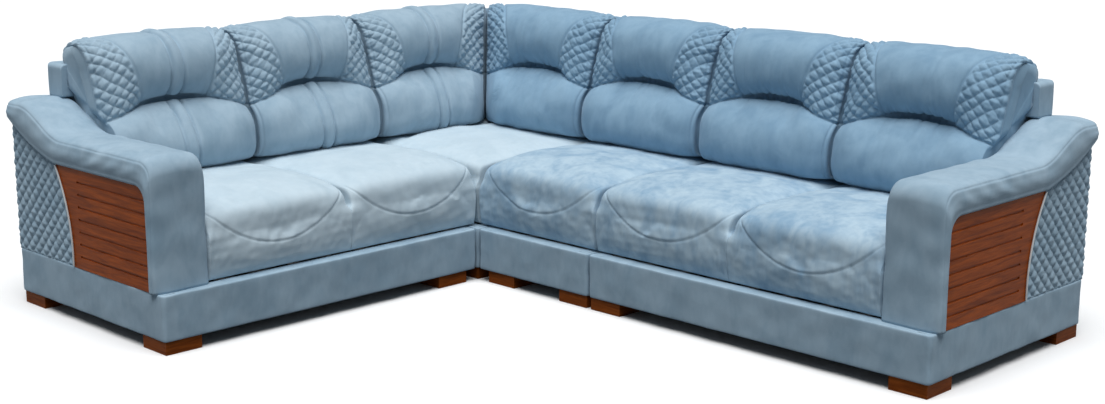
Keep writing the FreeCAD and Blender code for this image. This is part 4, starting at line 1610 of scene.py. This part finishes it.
class Sofa:
    """The whole sofa: corner, single and two end modules."""

    def __init__(self) -> None:
        """Build the finishes."""
        self.finishes = Finishes()

    def build(self) -> None:
        """Build every module and dress the parts that stay as they are."""
        EndModule("left", Wing.LEFT, MODULE_START, Sewing.TUCKED, 100).build(self.finishes)
        self.corner()
        self.single()
        EndModule("right", Wing.RIGHT, THIRD_MODULE_START, Sewing.GATHERED, 200).build(self.finishes)
        for index, module in enumerate(("corner", "left", "single", "right")):
            BaseBand(module + "_base_band_cover", module + "_module", 40 + index).build(self.finishes.velvet)
            Lining(module + "_bottom_cloth_sheet", module + "_module").build(self.finishes.lining)
        self.dress_kept_nodes()

    def corner(self) -> None:
        """Build the corner's seat, its two back cushions and cases."""
        SeatPad("corner_seat_pad", Wing.RIGHT, "corner_module", 0.0998, SEAT_FRONT, 300, edge_round=0.030,
                swag_low=0.0, under_cushion=0.377).build(self.finishes.seat)
        BackCushion("corner_right_back_cushion_form", Wing.RIGHT, "corner_module", 0.300, SEAT_FRONT, 301,
                    Sewing.GATHERED, mitred=True).build(self.finishes.shaded)
        BackCushion("corner_left_back_cushion_form", Wing.LEFT, "corner_module", 0.300, SEAT_FRONT, 302,
                    Sewing.TUCKED, mitred=True).build(self.finishes.velvet)
        for side, wing, start in (("right", Wing.RIGHT, 0.0), ("left", Wing.LEFT, 0.1004)):
            BackCase("corner_%s_back_case_cover" % side, wing, "corner_module", start,
                     SEAT_FRONT).build(self.finishes.velvet)

    def single(self) -> None:
        """Build the armless module's seat, cushion and case."""
        module, end = "single_module", MODULE_START + SEAT_WIDTH
        SeatPad("single_seat_pad", Wing.RIGHT, module, MODULE_START, end, 400,
                pressed=True).build(self.finishes.pressed)
        BackCushion("single_back_cushion_form", Wing.RIGHT, module, MODULE_START, end, 401,
                    Sewing.GATHERED).build(self.finishes.shaded)
        BackCase("single_back_case_cover", Wing.RIGHT, module, MODULE_START, end).build(self.finishes.velvet)

    def dress_kept_nodes(self) -> None:
        """Give each node that stays its finish, by the last words of its name."""
        endings = {
            "frame": self.finishes.timber, "springs": self.finishes.steel, "bolts": self.finishes.steel,
            "tongue": self.finishes.steel, "guides": self.finishes.steel, "set": self.finishes.steel,
            "feet": self.finishes.foot_wood, "wood_panel": self.finishes.panel_wood,
        }
        for name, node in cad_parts.items():
            if node.hide_render:
                continue
            material = next(made for ending, made in endings.items() if name.endswith(ending))
            dress(node, material)
            LOG.info("%s keeps its shape", name)


# Studio.

@dataclass(frozen=True)
class Studio:
    """Camera, soft light and a plain white room, with angles in degrees."""

    camera_place: tuple[float, float, float] = (3.77275, -3.71656, 1.54811)
    azimuth: float = 44.74
    pitch: float = 12.27
    roll: float = 0.11
    focal_pixels: float = 1653.9
    sun_strength: float = 3.5
    sun_softness: float = 50.0
    sun_tilt: float = 15.0
    fill_strength: float = 0.13
    fill_tone: Colour = (0.78, 0.90, 1.0)
    floor_half: float = 14.0
    floor_below: float = 0.0005

    def build(self) -> None:
        """Set up the camera, the light, the floor, the world and plain colours."""
        self.camera()
        self.soft_sun()
        self.floor()
        self.world()
        bpy.context.scene.view_settings.view_transform = "Standard"

    def camera(self) -> None:
        """Place the camera at the photograph's viewing angle."""
        data = bpy.data.cameras.new("view")
        data.sensor_fit = "HORIZONTAL"
        data.sensor_width = 36.0
        data.lens = self.focal_pixels / PICTURE_WIDTH * data.sensor_width
        data.clip_end = 100.0
        camera = bpy.data.objects.new("view", data)
        camera.location = self.camera_place
        turn = Euler((math.radians(90.0 - self.pitch), 0.0, math.radians(self.azimuth)), "XYZ").to_matrix()
        roll = Euler((0.0, 0.0, math.radians(self.roll)), "XYZ").to_matrix()
        camera.rotation_euler = (turn @ roll).to_euler()
        bpy.context.scene.collection.objects.link(camera)
        bpy.context.scene.camera = camera

    def soft_sun(self) -> None:
        """Light everything alike from above, tilted a little from the camera's side, with soft shadows."""
        data = bpy.data.lights.new("overhead", "SUN")
        data.energy = self.sun_strength
        data.angle = math.radians(self.sun_softness)
        lamp = bpy.data.objects.new("overhead", data)
        lamp.rotation_euler = (math.radians(self.sun_tilt), 0.0, math.radians(self.azimuth))
        bpy.context.scene.collection.objects.link(lamp)

    def floor(self) -> None:
        """Lay a wide white floor that keeps the sofa's shadow."""
        span = np.linspace(-self.floor_half, self.floor_half, 5)
        x, y = np.meshgrid(span, span, indexing="ij")
        floor = open_sheet("studio_floor", columns(x, y, -self.floor_below), flip=False)
        nodes = Nodes("white_floor")
        tree = nodes.tree
        nodes.shader.inputs["Base Color"].default_value = (0.13, 0.14, 0.15, 1.0)
        nodes.shader.inputs["Roughness"].default_value = 0.9
        white = tree.nodes.new("ShaderNodeBsdfDiffuse")
        white.inputs["Color"].default_value = (0.93, 0.93, 0.93, 1.0)
        blend = tree.nodes.new("ShaderNodeMixShader")
        nodes.link(self.seen_directly(tree), blend.inputs["Fac"])
        nodes.link(nodes.shader.outputs["BSDF"], blend.inputs[1])
        nodes.link(white.outputs["BSDF"], blend.inputs[2])
        nodes.link(blend.outputs["Shader"], tree.nodes["Material Output"].inputs["Surface"])
        dress(floor, nodes.material)

    def seen_directly(self, tree: bpy.types.NodeTree) -> bpy.types.NodeSocket:
        """Tell rays that see the room from those that light it.

        Args:
            tree: The nodes to add to.

        Returns:
            1 for camera, glossy and transmission rays and 0 for diffuse light.
        """
        path = tree.nodes.new("ShaderNodeLightPath")
        value = path.outputs["Is Camera Ray"]
        for name in ("Is Glossy Ray", "Is Transmission Ray"):
            node = tree.nodes.new("ShaderNodeMath")
            node.operation = "MAXIMUM"
            tree.links.new(value, node.inputs[0])
            tree.links.new(path.outputs[name], node.inputs[1])
            value = node.outputs["Value"]
        return value

    def world(self) -> None:
        """Light the room evenly, and show it white to the camera and in reflections."""
        world = bpy.data.worlds.new("white_room")
        bpy.context.scene.world = world
        world.use_nodes = True
        tree = world.node_tree
        tree.nodes.clear()
        output = tree.nodes.new("ShaderNodeOutputWorld")
        seen = tree.nodes.new("ShaderNodeBackground")
        seen.inputs["Color"].default_value = (1.0, 1.0, 1.0, 1.0)
        fill = tree.nodes.new("ShaderNodeBackground")
        fill.inputs["Color"].default_value = (*self.fill_tone, 1.0)
        fill.inputs["Strength"].default_value = self.fill_strength
        choose = tree.nodes.new("ShaderNodeMixShader")
        tree.links.new(self.seen_directly(tree), choose.inputs["Fac"])
        tree.links.new(fill.outputs["Background"], choose.inputs[1])
        tree.links.new(seen.outputs["Background"], choose.inputs[2])
        tree.links.new(choose.outputs["Shader"], output.inputs["Surface"])


def main() -> None:
    """Build the sofa and its studio."""
    logging.basicConfig(level=logging.INFO, format="%(name)s %(message)s")
    Sofa().build()
    Studio().build()


if __name__ == "__main__":
    main()
